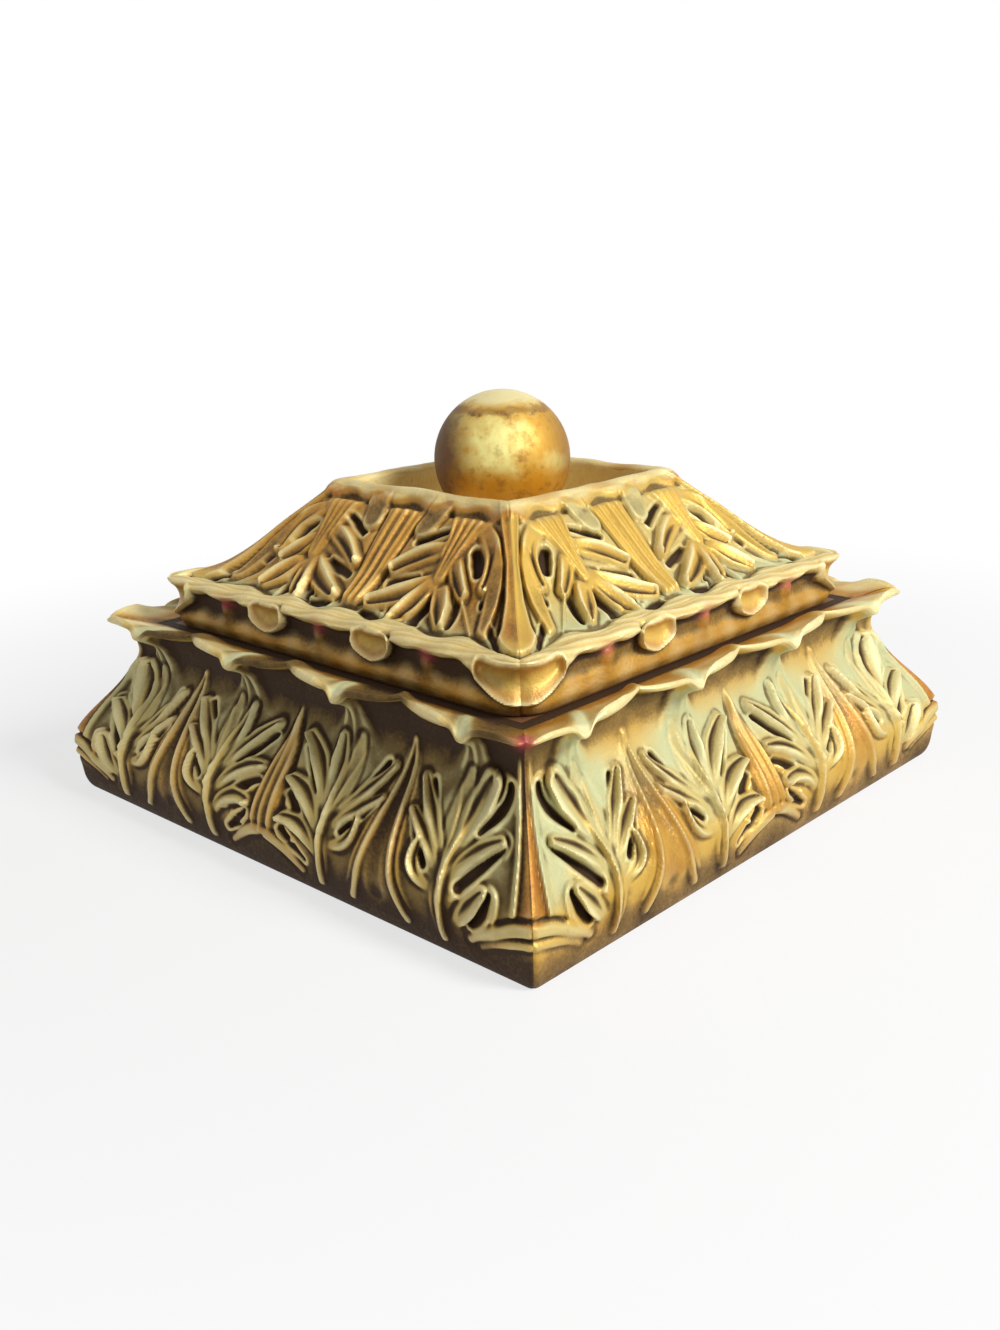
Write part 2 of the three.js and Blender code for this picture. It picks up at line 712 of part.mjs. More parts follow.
// The ball, with a flat seat below and a bore for the screw
function ballKnob() {
  const centre = recessFloor + Math.sqrt(ballRadius ** 2 - ballSeatRadius ** 2);
  const bore = screwRadius + looseFit;
  const boreTop = recessFloor + screwReach + looseFit;
  const seatAngle = Math.asin(ballSeatRadius / ballRadius);
  const steps = 14;
  const profile = [[0, boreTop], [bore, boreTop], [bore, recessFloor]];
  for (let step = 0; step <= steps; step += 1) {
    const angle = lerp(seatAngle, Math.PI, step / steps);
    profile.push([ballRadius * Math.sin(angle), centre - ballRadius * Math.cos(angle)]);
  }
  profile[profile.length - 1][0] = 0;
  return turned(profile, 28);
}

function knobWasher() {
  const top = recessFloor - topPanelThickness;
  const bore = screwRadius + looseFit;
  return turned([
    [bore, top],
    [bore, top - washerThickness],
    [washerRadius, top - washerThickness],
    [washerRadius, top],
    [bore, top],
  ], 24);
}

// A round-headed wood screw with a pointed end
function knobScrew() {
  const headTop = recessFloor - topPanelThickness - washerThickness;
  const pointLength = 4;
  return turned([
    [0, headTop - screwHeadHeight],
    [screwHeadRadius * 0.6, headTop - screwHeadHeight * 0.85],
    [screwHeadRadius, headTop - screwHeadHeight * 0.3],
    [screwHeadRadius, headTop],
    [screwRadius, headTop],
    [screwRadius, recessFloor + screwReach - pointLength],
    [0, recessFloor + screwReach],
  ], 16);
}

function finish(colour, roughness, metalness) {
  return new THREE.MeshStandardMaterial({ color: colour, roughness, metalness });
}

const box = new THREE.Group();
const sideNames = ['right', 'back', 'left', 'front'];

function addPiece(name, geometry, material, height = 0, turn = 0) {
  const mesh = new THREE.Mesh(geometry, material);
  mesh.name = name;
  mesh.position.z = height;
  mesh.rotation.z = turn;
  box.add(mesh);
}

// Four copies of a side, each turned a quarter further round
function addSides(prefix, geometry, colour, roughness, metalness) {
  sideNames.forEach((name, number) => {
    addPiece(prefix + name, geometry, finish(colour, roughness, metalness), 0, number * Math.PI / 2);
  });
}

addSides('body_side_', bodySide(), 0xc9a04a, 0.42, 0.6);
addPiece('bottom_panel', board(rebateHalf - looseFit, panelThickness, 0), finish(0x8a6238, 0.7, 0),
  panelTop - panelThickness);
addPiece('floor_lining', board(cavityHalf - looseFit, liningThickness, 0), finish(0x5b1a20, 0.95, 0), panelTop);
addPiece('base_baize', board(rebateHalf - looseFit, baizeThickness, 0), finish(0x2f4a33, 0.95, 0),
  panelTop - panelThickness - baizeThickness);

addSides('lid_side_', lidSide(), 0xcfa850, 0.4, 0.6);
addPiece('lid_top_panel', board(topPanelHalf - looseFit, topPanelThickness, screwRadius + looseFit),
  finish(0xd9c98a, 0.5, 0.4), recessFloor - topPanelThickness);
addSides('lip_strip_', lipStrip(), 0x7a5430, 0.7, 0);
addPiece('ball_knob', ballKnob(), finish(0xd8a83e, 0.32, 0.75));
addPiece('knob_washer', knobWasher(), finish(0xb9a36a, 0.35, 1));
addPiece('knob_screw', knobScrew(), finish(0xb59a58, 0.35, 1));

export default box;
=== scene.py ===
"""Finishes a square carved and gilded box with a lift-off lid and a ball knob.

The frame gives the solids of the box. This add-on lays a finely carved skin over each mitred side,
turns the ball and the screw, cuts the felt and the baize, and gives every piece its finish.
Lengths in the code are millimetres until a mesh is made. A half is a distance from the middle plane
of the box to one side, "along" runs along a side from its middle, "corner" is measured back from
the mitre, and "up" is measured up the outer curve of a side from its foot.
"""

import math

import bpy
import numpy as np
from bpy.props import FloatProperty, FloatVectorProperty, IntProperty, PointerProperty
from mathutils import Matrix, Vector


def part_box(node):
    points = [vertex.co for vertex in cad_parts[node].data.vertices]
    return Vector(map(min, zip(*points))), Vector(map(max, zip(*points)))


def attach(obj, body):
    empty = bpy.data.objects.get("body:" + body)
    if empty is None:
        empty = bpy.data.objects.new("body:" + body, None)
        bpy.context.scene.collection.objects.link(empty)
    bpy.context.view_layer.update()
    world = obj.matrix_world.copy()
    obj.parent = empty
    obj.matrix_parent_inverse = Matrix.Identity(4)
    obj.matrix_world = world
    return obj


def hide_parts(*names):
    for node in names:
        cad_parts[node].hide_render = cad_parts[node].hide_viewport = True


bl_info = {
    "name": "Carved Gilt Box",
    "version": (1, 0, 0),
    "blender": (4, 5, 0),
    "location": "View3D > Sidebar > Gilt Box",
    "description": "Carves, gilds and lines a square box with a pyramid lid and a ball knob",
    "category": "Object",
}

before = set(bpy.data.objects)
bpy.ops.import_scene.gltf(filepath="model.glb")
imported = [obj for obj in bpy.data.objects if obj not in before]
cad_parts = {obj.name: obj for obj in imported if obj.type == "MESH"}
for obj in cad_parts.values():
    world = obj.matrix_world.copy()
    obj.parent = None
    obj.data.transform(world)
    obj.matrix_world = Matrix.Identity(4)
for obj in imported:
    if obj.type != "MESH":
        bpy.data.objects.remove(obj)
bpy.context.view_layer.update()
MM = 0.001
SIDES = ("right", "back", "left", "front")


def node_mm(name):
    """Lowest and highest corner of a node of the frame, in millimetres."""
    low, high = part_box(name)
    return np.array(low) / MM, np.array(high) / MM


PANEL_HIGH = node_mm("bottom_panel")[1]
TOP_LOW, TOP_HIGH = node_mm("lid_top_panel")
LINING_LOW, LINING_HIGH = node_mm("floor_lining")
BAIZE_LOW, BAIZE_HIGH = node_mm("base_baize")
BALL_LOW, BALL_HIGH = node_mm("ball_knob")
SCREW_LOW, SCREW_HIGH = node_mm("knob_screw")
WASHER_LOW = node_mm("knob_washer")[0]


# Curves and height fields

SPINE_POINTS = 18
PIT_SPINE_POINTS = 14
WAVES = 6


def bezier(points, count):
    """A curve over control points: neighbours are mixed by t again and again until one point is left."""
    t = np.linspace(0.0, 1.0, count)[:, None]
    level = [np.array(p, float)[None, :] for p in points]
    while len(level) > 1:
        level = [(1 - t) * a + t * b for a, b in zip(level[:-1], level[1:])]
    return level[0]


def chain(pieces, count=120):
    """Curves joined end to end: the length run at each point, summed step by step, and the points."""
    runs = [bezier(piece, count) for piece in pieces]
    line = np.concatenate([runs[0]] + [run[1:] for run in runs[1:]])
    step = np.hypot(*np.diff(line, axis=0).T)
    return np.concatenate([[0.0], np.cumsum(step)]), line


def follow(curve, up):
    """Half and height at each length run, and the outward normal: the unit slope turned a quarter turn."""
    total, line = curve
    half = np.interp(up, total, line[:, 0])
    height = np.interp(up, total, line[:, 1])
    slope_half = np.gradient(half, up)
    slope_height = np.gradient(height, up)
    length = np.hypot(slope_half, slope_height)
    return half, height, slope_height / length, -slope_half / length


def ease(x, low, high):
    """Smooth step: 3 t squared less 2 t cubed, where t is the share of the way from low to high."""
    t = np.clip((x - low) / (high - low), 0.0, 1.0)
    return t * t * (3 - 2 * t)


def band(x, rise_from, rise_to, fall_from, fall_to):
    """A smooth step up times a smooth step back down."""
    return ease(x, rise_from, rise_to) * (1 - ease(x, fall_from, fall_to))


def bell(x, width, power=2):
    """One at nought, then e to the power of minus x over the width, squared or to a higher power."""
    return np.exp(-(x / width) ** power)


def through(stations, values):
    """Evenly spaced values, read in straight lines at stations from 0 to 1."""
    return np.interp(stations, np.linspace(0, 1, len(values)), values)


def blur(field, rows, columns, passes=3):
    """The mean over a window of rows and columns, taken a few times over from running sums."""
    for axis, reach in ((0, rows), (1, columns)):
        reach = max(1, int(reach))
        width = 2 * reach + 1
        size = field.shape[axis]
        pads = [(0, 0), (0, 0)]
        pads[axis] = (reach + 1, reach)
        for _ in range(passes):
            total = np.cumsum(np.pad(field, pads, mode="edge"), axis=axis)
            upper = np.take(total, range(width, width + size), axis=axis)
            lower = np.take(total, range(0, size), axis=axis)
            field = (upper - lower) / width
    return field


def wobble(x, y, scale, seed):
    """The mean of six sine waves over (x, y), each with a random direction, phase and length."""
    rng = np.random.default_rng(seed)
    total = np.zeros_like(x)
    for _ in range(WAVES):
        angle, phase = rng.uniform(0, 2 * math.pi, 2)
        stretch = rng.uniform(0.6, 1.6)
        total += np.sin((x * math.cos(angle) + y * math.sin(angle)) * stretch / scale + phase)
    return total / WAVES


class Carving:
    """Heights over places (x, y) on a side, and the layers of finish, painted shade and painted highlight
    that the strokes leave there.
    """

    LAYERS = ("sage", "red", "warm", "dark", "light", "clean")
    WALL = 0.35
    TRENCH_GAP, TRENCH_WIDTH = 0.2, 0.45
    ROLL_AT, ROLL_WIDTH = 0.7, 0.36
    BOWL_SHIFT, BOWL_WIDTH = 0.3, 0.5
    CREASE_SHIFT, CREASE_WIDTH = 0.35, 0.16

    def __init__(self, across, up, level):
        self.x = across
        self.y = up
        self.height = np.zeros_like(across) + level
        for name in self.LAYERS:
            setattr(self, name, np.zeros_like(across))

    def near(self, points, reach, count=SPINE_POINTS):
        """Places near a curved spine: which they are, how far off, the share along it, and the side.

        The distance is the least over the spine's straight steps, each measured square to the step
        or from its nearer end.
        """
        spine = bezier(points, count)
        low = spine.min(0) - reach
        high = spine.max(0) + reach
        inside = (self.x > low[0]) & (self.x < high[0]) & (self.y > low[1]) & (self.y < high[1])
        px = self.x[inside]
        py = self.y[inside]
        best = np.full(px.shape, np.inf)
        place = np.zeros(px.shape)
        side = np.zeros(px.shape)
        for number, (start, run) in enumerate(zip(spine[:-1], np.diff(spine, axis=0))):
            share = np.clip(((px - start[0]) * run[0] + (py - start[1]) * run[1]) / (run @ run), 0, 1)
            dx = px - start[0] - share * run[0]
            dy = py - start[1] - share * run[1]
            away = np.hypot(dx, dy)
            closer = away < best
            best = np.where(closer, away, best)
            place = np.where(closer, (number + share) / (count - 1), place)
            side = np.where(closer, np.sign(run[0] * dy - run[1] * dx), side)
        return inside, best, place, side

    def blend(self, cover, inside=..., **targets):
        """Brings the height or layers toward targets by a cover that runs from 0 to 1."""
        for name, target in targets.items():
            layer = getattr(self, name)
            layer[inside] += (target - layer[inside]) * cover

    def fade(self, cover, *names):
        """Takes layers away where something covers them."""
        for name in names:
            setattr(self, name, getattr(self, name) * (1 - cover))

    def at_least(self, inside=..., **floors):
        """Lifts layers to a floor where they are lower."""
        for name, floor in floors.items():
            layer = getattr(self, name)
            layer[inside] = np.maximum(layer[inside], floor)

    def petal(self, points, widths, levels, dish, lip, groove=0.5, tilt=0.0, sage=0.0):
        """A leaf lobe; q is the share from its spine to its edge, positive where its tilt lifts it.

        Its face is the level along the spine, less a bowl, plus the tilt times q, a roll near the
        lifted edge and a fine lip. A steep wall and a cut trench part it from what it lies on.
        """
        inside, away, place, side = self.near(points, max(widths) + 1.6)
        width = through(place, widths)
        leans = abs(np.sign(tilt))
        spoon = ease(place, 0.05, 0.7)
        q = np.clip(away / width, 0, 1) * side * np.sign(tilt)
        roll = bell(q - self.ROLL_AT, self.ROLL_WIDTH) * spoon
        bowl = bell(q + self.BOWL_SHIFT * leans, self.BOWL_WIDTH) * spoon
        edge = bell(width - 0.5 - away, 0.4) * spoon
        face = through(place, levels) - dish * bowl + abs(tilt) * q * spoon + 0.6 * lip * edge
        face += (0.3 + 0.6 * lip) * roll * leans
        cover = 1 - ease(away - width, -0.3, self.WALL + 0.15)
        root = ease(place, 0.0, 0.22)
        trench = 0.7 * groove * bell(away - width - self.WALL - self.TRENCH_GAP, self.TRENCH_WIDTH) * root
        current = self.height[inside] - trench
        self.height[inside] = current + (face - current) * cover * root
        # painted shade in the bowl and along the crease, and a painted highlight on the roll and the lifted
        # edge
        shade = 0.4 * dish * bowl + 0.5 * spoon * bell(q + self.CREASE_SHIFT, self.CREASE_WIDTH) * leans
        shine = np.maximum(0.65 * roll, 0.3 * edge * (q > 0))
        self.blend(cover * root, inside, dark=shade, light=shine, sage=sage, clean=0.45)

    def ridge(self, points, widths, heights, **targets):
        """A rounded rib: its height times one less the square of the share out to its edge."""
        inside, away, place, _ = self.near(points, max(widths) + 0.2)
        q = np.clip(away / through(place, widths), 0, 1)
        self.height[inside] += through(place, heights) * (1 - q * q) ** 1.1
        self.blend(1 - ease(q, 0.5, 1.0), inside, **targets)

    def pit(self, points, widths, floor, dark, lip=0.3):
        """A hollow down to a floor level: a bowl with painted shade that darkens inward, and a fine raised
        lip round it with a painted highlight.
        """
        inside, away, place, _ = self.near(points, max(widths) + 1.4, PIT_SPINE_POINTS)
        width = through(place, widths)
        edge = bell(away - width - 0.35, 0.35)
        current = self.height[inside] + lip * edge
        deep = np.minimum(current, floor)
        self.height[inside] = current + (deep - current) * (1 - ease(away, 0.3 * width, 1.05 * width))
        self.at_least(inside, dark=dark * (1 - ease(away, 0.2 * width, 1.05 * width)))
        if lip > 0:
            self.at_least(inside, light=0.45 * edge)

    def shell(self, points, widths, floor, rim):
        """A dished shell: its level rises from the floor by a power of the share out to its rim."""
        inside, away, place, _ = self.near(points, 1.3 * max(widths))
        q = away / through(place, widths)
        face = floor + (rim - floor) * np.clip(q, 0, 1.03) ** 2.2
        # a painted highlight over the shell, strongest on its rim
        light = 0.25 + 0.7 * ease(q, 0.84, 0.96)
        warm = 0.8 * band(q, 0.2, 0.8, 0.85, 1.0)
        self.blend(1 - ease(q, 1.0, 1.18), inside, height=face, light=light, warm=warm, clean=1.0, dark=0.0,
                   sage=0.0)
        # painted shadow: a dark line just outside the rim
        self.at_least(inside, dark=0.7 * bell(q - 1.14, 0.08))

    def tongue(self, across, outline, ends, edge_level, swell, blend):
        """A tongue, which swells by one less the square of the share out to its edge.

        Its outline gives half widths over heights, and its ends are where it rises and falls off.
        It gives back the half width and the cover.
        """
        half = np.interp(self.y, *outline)
        q = np.clip(across / half, 0, 1)
        cover = (1 - ease(across, half - blend, half)) * band(self.y, *ends)
        self.blend(cover, height=edge_level + swell * (1 - q ** 2))
        return half, cover

    def draw(self, strokes, origin=0.0, toward=1):
        """Works in strokes in their order, with x counted from an origin toward either side.

        A stroke is its kind, its spine's points, its numbers, and its named numbers where it has any.
        """
        for kind, points, *numbers in strokes:
            named = dict(numbers.pop()) if isinstance(numbers[-1], dict) else {}
            if "tilt" in named:
                named["tilt"] *= toward
            getattr(self, kind)([(origin + toward * x, y) for x, y in points], *numbers, **named)


# Layout of the carving: a place is its distance from the middle of the side and the length up the curve

BODY_CURVE = chain([
    [(72, 0), (73.95, 2.06), (75, 6.18), (75, 10.3)],
    [(75, 10.3), (75, 19.3), (62.9, 25.3), (62.9, 34.3)],
    [(62.9, 34.3), (62.9, 38.48), (64.42, 41.14), (66.7, 41.9)],
])
LID_CURVE = chain([
    [(55.7, 40.77), (56.7, 43.6)],
    [(56.7, 43.6), (57.6, 45.61), (57.6, 48.29), (57, 50.3)],
    [(57, 50.3), (55.56, 51.9), (53.4, 51.2)],
    [(53.4, 51.2), (46.03, 53.84), (40, 60)],
    [(40, 60), (28, 71.8)],
])
BODY_LENGTH = BODY_CURVE[0][-1]

INNER_LEAF = 18.4
OUTER_LEAF = 51.8
FLARE = 34.6
WEBS = (17.4, 50.8)
BAR_END = 74.6
LID_LEAF = 20.0

# The lid's border and frame: lengths up of the hanging sheet's edge and crown and of the frame's lower
# line, and the folds, notches and droops of the sheet, with their places along the side and widths
SHEET_EDGE, SHEET_CROWN, TOP_LINE = 6.0, 13.0, 42.1
BAY = 16.6
FOLDS = ((0.0, 1.8), (32.4, 2.0))
NOTCHES, NOTCH_WIDTH = (-20.2, 13.4), 1.9
DROOPS = ((-15.6, 2.4), (18.0, 2.4), (-45.0, 3.0))

# Half widths over lengths up
MIDDLE_TONGUE = ((7, 12, 22, 34, 38), (6.0, 5.2, 4.0, 1.4, 0.3))
CORNER_TONGUE = ((7, 14, 24, 33, 44), (5.4, 4.4, 2.4, 1.3, 0.6))
WEB_OUTLINE = ((28, 33, 36, 40, 43.5, 47.3), (14, 9.0, 5.4, 3.2, 2.6, 3.2))
DART_OUTLINE = ((14, 18, 30, 40), (2.2, 3.2, 4.6, 5.4))
DROP_OUTLINE = ((11.6, 12.2, 13.2, 15, 17.8, 24, 32, 43), (0.0, 2.6, 4.2, 5.2, 3.9, 2.4, 1.5, 2.6))

# Strokes of a leaf: its numbers are a pit's widths, floor and dark; a petal's widths, levels, dish and
# lip; a ridge's widths and heights
STEM = (
    ("ridge", ((0.6, 4.4), (-0.6, 12), (0.2, 22), (0.9, 29.5)), (1.1, 0.9, 0.75, 0.35), (1.5, 1.7, 1.2, 0.3),
     {"sage": 0.1}),
    ("ridge", ((-0.4, 16), (-1.4, 24), (-3.4, 33)), (0.7, 0.6, 0.35), (0.9, 0.8, 0.3), {"sage": 0.5}),
    ("ridge", ((-0.3, 19), (0.3, 26), (-0.4, 35)), (0.6, 0.5, 0.35), (0.7, 0.7, 0.3), {"sage": 0.6}),
    ("ridge", ((-0.8, 5.4), (-2.4, 10), (-1.4, 15.5)), (0.5, 0.55, 0.3), (0.5, 0.7, 0.2), {"sage": 0.1}),
)


def tight_lobes(eye):
    """Strokes of the three short lobes on a leaf's closed side, over hollows that the eye opens."""
    levels = (2.0, 2.6, 2.8)
    return (
        ("pit", ((-10.4, 32.0), (-9.4, 29.6), (-6.8, 26.0)), (0.6 + 0.7 * eye, 0.8 + 0.7 * eye, 0.5),
         0.7 - 0.6 * eye, 0.8),
        ("pit", ((-11.6, 24.6), (-8.6, 21.0), (-5.2, 17.0)), (0.6, 1.0, 0.7), 0.5, 0.8),
        ("petal", ((-1.4, 19.5), (-6.6, 24.0), (-12.4, 32.4)), (0.6, 1.4, 1.7, 0.9), levels, 0.9, 0.25,
         {"tilt": 0.3, "sage": 0.55}),
        ("petal", ((-1.6, 17.0), (-6.4, 21.4), (-12.3, 26.0)), (0.6, 1.3, 1.6, 0.9), levels, 0.9, 0.25,
         {"tilt": 0.3, "sage": 0.45}),
        ("petal", ((-1.8, 13.6), (-9.0, 14.0), (-8.4, 20.4)), (0.6, 1.2, 1.5, 1.0), levels, 1.0, 0.25,
         {"tilt": 0.3, "sage": 0.3}),
        ("pit", ((-7.4, 19.6), (-7.2, 18.6)), (0.45, 0.45), 1.2, 0.7, 0),
    )


# The leaf beside a mitre: three hooked lobes over deep hollows on the side of the corner
CORNER_SIDE_LEAF = (
    ("pit", ((8.2, 35.4), (9.0, 31.4), (4.4, 26.6)), (0.8, 1.3, 0.9), 0.2, 0.85),
    ("pit", ((10.9, 24.8), (8.4, 20.6), (4.4, 15.6)), (0.6, 1.2, 1.4), 0.2, 0.85),
    ("pit", ((11.5, 16.2), (11.6, 12.0), (8.2, 9.4)), (0.8, 1.6, 1.0), 0.0, 0.9),
    ("petal", ((-1.4, 21), (-3.0, 29), (-1.6, 36.0)), (0.9, 2.0, 1.8, 0.8), (1.9, 2.3, 2.0), 0.5, 0.1,
     {"sage": 0.75}),
    *tight_lobes(0.1),
    ("petal", ((0.6, 20), (1.2, 28), (3.4, 35.2)), (0.8, 2.3, 3.2, 2.4), (1.9, 2.5, 2.7), 0.9, 0.3,
     {"tilt": -0.35, "sage": 0.8}),
    ("ridge", ((0.9, 24), (1.9, 30), (2.6, 36.0)), (0.4, 0.6, 0.5), (0.4, 0.6, 0.3), {"sage": 0.3}),
    ("petal", ((1.0, 16.0), (4.0, 22.6), (9.6, 25.6)), (0.7, 1.7, 2.0, 1.4), (1.9, 2.6, 2.9), 1.0, 0.3,
     {"tilt": -0.4, "groove": 0.9, "sage": 0.65}),
    ("petal", ((3.6, 7.6), (6.6, 11.6), (9.8, 16.2)), (0.8, 1.6, 2.0, 1.3), (1.6, 2.4, 2.8), 1.0, 0.3,
     {"tilt": -0.4, "groove": 0.9, "sage": 0.5}),
    ("ridge", ((10.6, 31.4), (10.2, 38.4), (4.6, 37.6), (0.4, 35.2)), (0.5, 0.7, 0.6, 0.4),
     (0.4, 0.6, 0.4, 0.2)),
    ("ridge", ((12.3, 23.6), (13.4, 29.4), (7.6, 28.6), (2.0, 24.0)), (0.5, 0.7, 0.6, 0.4),
     (0.4, 0.7, 0.5, 0.2)),
    ("ridge", ((13.5, 10.6), (15.4, 20.0), (9.8, 19.6), (3.0, 13.2)), (0.6, 0.8, 0.7, 0.5),
     (0.7, 1.0, 0.8, 0.4)),
    *STEM,
)

# A leaf of the middle pair: long slanting lobes that sweep toward the centre, and a coiled foot lobe
MIDDLE_SIDE_LEAF = (
    ("pit", ((13.0, 30.4), (9.4, 27.6), (5.4, 22.8)), (0.7, 1.3, 0.8), 0.3, 0.85),
    ("pit", ((13.2, 20.4), (9.8, 18.6), (5.0, 13.4)), (0.7, 1.3, 1.0), 0.2, 0.85),
    ("pit", ((12.4, 12.6), (9.4, 9.8), (6.0, 7.6)), (1.0, 1.4, 0.8), 0.1, 0.9),
    ("petal", ((-1.2, 20), (-2.6, 27), (-1.6, 35.4)), (0.9, 2.0, 1.9, 0.8), (1.9, 2.3, 2.0), 0.5, 0.1,
     {"sage": 0.7}),
    *tight_lobes(0.6),
    ("petal", ((0.4, 20), (2.4, 28), (3.4, 34.6)), (0.7, 1.9, 2.0, 1.0), (1.9, 2.4, 2.4), 0.7, 0.25,
     {"tilt": -0.3, "sage": 0.85}),
    ("petal", ((0.8, 18), (5.4, 28.0), (13.0, 32.8)), (0.7, 1.7, 2.1, 1.2), (2.0, 2.6, 2.9), 1.0, 0.3,
     {"tilt": -0.4, "sage": 0.6}),
    ("petal", ((0.8, 14), (5.6, 22.6), (13.4, 23.4)), (0.6, 1.7, 2.1, 1.2), (2.0, 2.6, 2.9), 1.0, 0.3,
     {"tilt": -0.4, "sage": 0.5}),
    ("petal", ((0.6, 8.4), (4.6, 17.4), (12.6, 15.4)), (0.6, 1.5, 1.9, 1.1), (1.8, 2.5, 2.8), 1.0, 0.3,
     {"tilt": -0.4, "sage": 0.4}),
    ("ridge", ((12.8, 15.2), (14.6, 10.6), (9.6, 8.6), (8.2, 11.8)), (0.7, 0.8, 0.7, 0.5),
     (0.9, 1.3, 1.2, 0.8)),
    *STEM,
)

# The two thin ridges on each half of a flared tongue: a top end that stays, and points that spread
FLARE_RIDGES = (
    ((0.3, 38), ((2.0, 26), (2.4, 13), (7.2, 4.6)), (0.5, 0.75, 0.9, 1.2), (0.7, 1.1, 1.2, 1.3)),
    ((1.4, 36), ((3.6, 26), (4.0, 14), (8.4, 7.0)), (0.3, 0.5, 0.6, 0.5), (0.3, 0.5, 0.6, 0.3)),
)

# Lines on the tongues, and the curled bar at the foot of the middle one
TONGUE_LINES = (
    ("ridge", ((FLARE, 34), (FLARE, 8)), (1.2, 2.4), (-0.3, -0.5)),
    ("ridge", ((1.9, 33), (2.0, 22), (2.7, 10.4)), (0.4, 0.55, 0.7), (0.4, 0.7, 0.8)),
    ("ridge", ((0, 37), (0, 10.4)), (0.45, 0.6), (0.4, 0.7)),
    ("petal", ((-1.0, 10.4), (4.0, 10.6), (6.5, 7.8), (11.4, 4.6)), (1.0, 1.2, 1.0, 0.7), (2.7, 2.7, 2.2),
     0.5, 0.1, {"groove": 0.8, "sage": 0.25}),
)

# The bars that curl round a mitre, from a point just short of it
CORNER_BARS = (
    ("pit", ((0, 15.2), (-4.6, 14.6), (-7.5, 12.2)), (0.4, 0.6, 0.4), 1.1, 0.4, 0),
    ("petal", ((2.0, 13.0), (-4, 13.4), (-9, 9.8), (-15.2, 6.2)), (1.0, 1.2, 1.1, 0.7), (1.9, 2.3, 2.8, 2.2),
     0.5, 0.1, {"groove": 0.7, "sage": 0.4}),
    ("petal", ((2.0, 10.0), (-5, 10.2), (-12.6, 5.6)), (0.55, 0.7, 0.5), (1.7, 2.1, 1.6), 0.0, 0.0,
     {"groove": 0.4, "sage": 0.2}),
)

# The lines of a web that rises to the rim
WEB_LINES = (
    ("ridge", ((0, 35), (0, 42), (0, 47.3)), (0.6, 0.9, 2.4), (0.2, 0.6, 0.7), {"sage": 1.0}),
    ("ridge", ((-3.4, 36), (-1.0, 41), (-0.8, 47.3)), (0.4, 0.5, 0.6), (0.2, 0.35, 0.3)),
)

# Hollows of the lid's slope, counted from the middle of its leaf
LID_HOLLOWS = (
    ("pit", ((-4.4, 36.8), (-8, 35.2), (-11.4, 33.0)), (0.7, 1.1, 0.9), 0.0, 0.65),
    ("pit", ((-6.0, 25.2), (-9.5, 24.0), (-13.4, 22.6)), (0.7, 1.2, 0.9), 0.0, 0.65),
    ("pit", ((5.6, 33.0), (7.6, 31.2), (8.8, 28.8)), (1.4, 1.9, 1.4), -0.4, 0.95),
    ("pit", ((15.6, 27.0), (15.2, 24.2), (14.6, 22.8)), (1.0, 1.5, 1.2), 0.0, 0.7),
    ("pit", ((1.4, 21.5), (0.6, 17.5), (0.8, 13.6)), (0.8, 1.5, 1.6), 0.0, 0.7),
    ("pit", ((-8.2, 20.6), (-6.8, 17.0), (-7.4, 13.8)), (0.6, 1.0, 0.8), 0.2, 0.6),
    ("pit", ((7.0, 23.4), (9.2, 19.6), (9.8, 16.0)), (0.7, 1.0, 0.7), 0.2, 0.6),
    ("pit", ((-6.4, 13.4), (-11.0, 14.0), (-14.5, 14.6)), (0.9, 1.2, 0.8), 0.2, 0.8),
    ("pit", ((-1.5, 35), (-4, 30.4), (-9.5, 29.4)), (0.4, 0.5, 0.3), 1.0, 0.5),
)

# Its lobes, the hook that hangs from the top frame, and the stem plate with its ribs
LID_LOBES = (
    ("petal", ((-1, 32.5), (-6.4, 32.0), (-13.2, 26.0)), (1.4, 2.2, 2.1, 1.6), (2.3, 2.6, 2.5), 0.9, 0.35,
     {"tilt": -0.2}),
    ("petal", ((-0.4, 26.5), (-4.6, 20.6), (-13.6, 17.0)), (1.4, 2.5, 2.6, 1.7), (2.3, 2.6, 2.5), 0.9, 0.35,
     {"tilt": -0.2}),
    ("petal", ((-0.4, 26), (-1.6, 20), (-4.0, 14.2)), (1.4, 2.2, 2.4, 1.7), (2.4, 2.7, 2.5), 0.9, 0.35,
     {"tilt": -0.2}),
    ("petal", ((3, 39), (12.4, 34.4), (12.6, 26.4)), (1.6, 1.9, 1.8, 1.7), (2.3, 2.5, 2.4), 0.7, 0.3,
     {"tilt": 0.2}),
    ("petal", ((1, 31.5), (3.6, 27), (8.2, 23.4)), (1.2, 1.7, 1.7, 1.3), (2.3, 2.5, 2.5), 0.8, 0.3,
     {"tilt": 0.2}),
    ("petal", ((1.2, 25.5), (4.2, 20.4), (7.9, 15.6)), (1.2, 2.1, 2.2, 1.2), (2.4, 2.7, 2.6), 0.8, 0.3,
     {"tilt": 0.2}),
    ("petal", ((-9.8, 44), (-10.8, 39.6), (-11.6, 36.6)), (3.0, 2.8, 2.6), (2.6, 2.8, 2.9), 0.8, 0.3,
     {"sage": 0.6}),
    ("petal", ((0.2, 42), (-0.2, 34), (0.2, 26)), (6.5, 3.6, 1.8, 1.4), (2.3, 2.5, 2.5), 0.3, 0.2,
     {"groove": 0}),
    *(("ridge", ((tip, 40), (0.55 * tip, 33), (0.3 * tip, 25)), (0.7, 0.6, 0.4), (0.5, 0.5, 0.2))
      for tip in (-4.4, -2.0, 0.4, 2.6)),
)

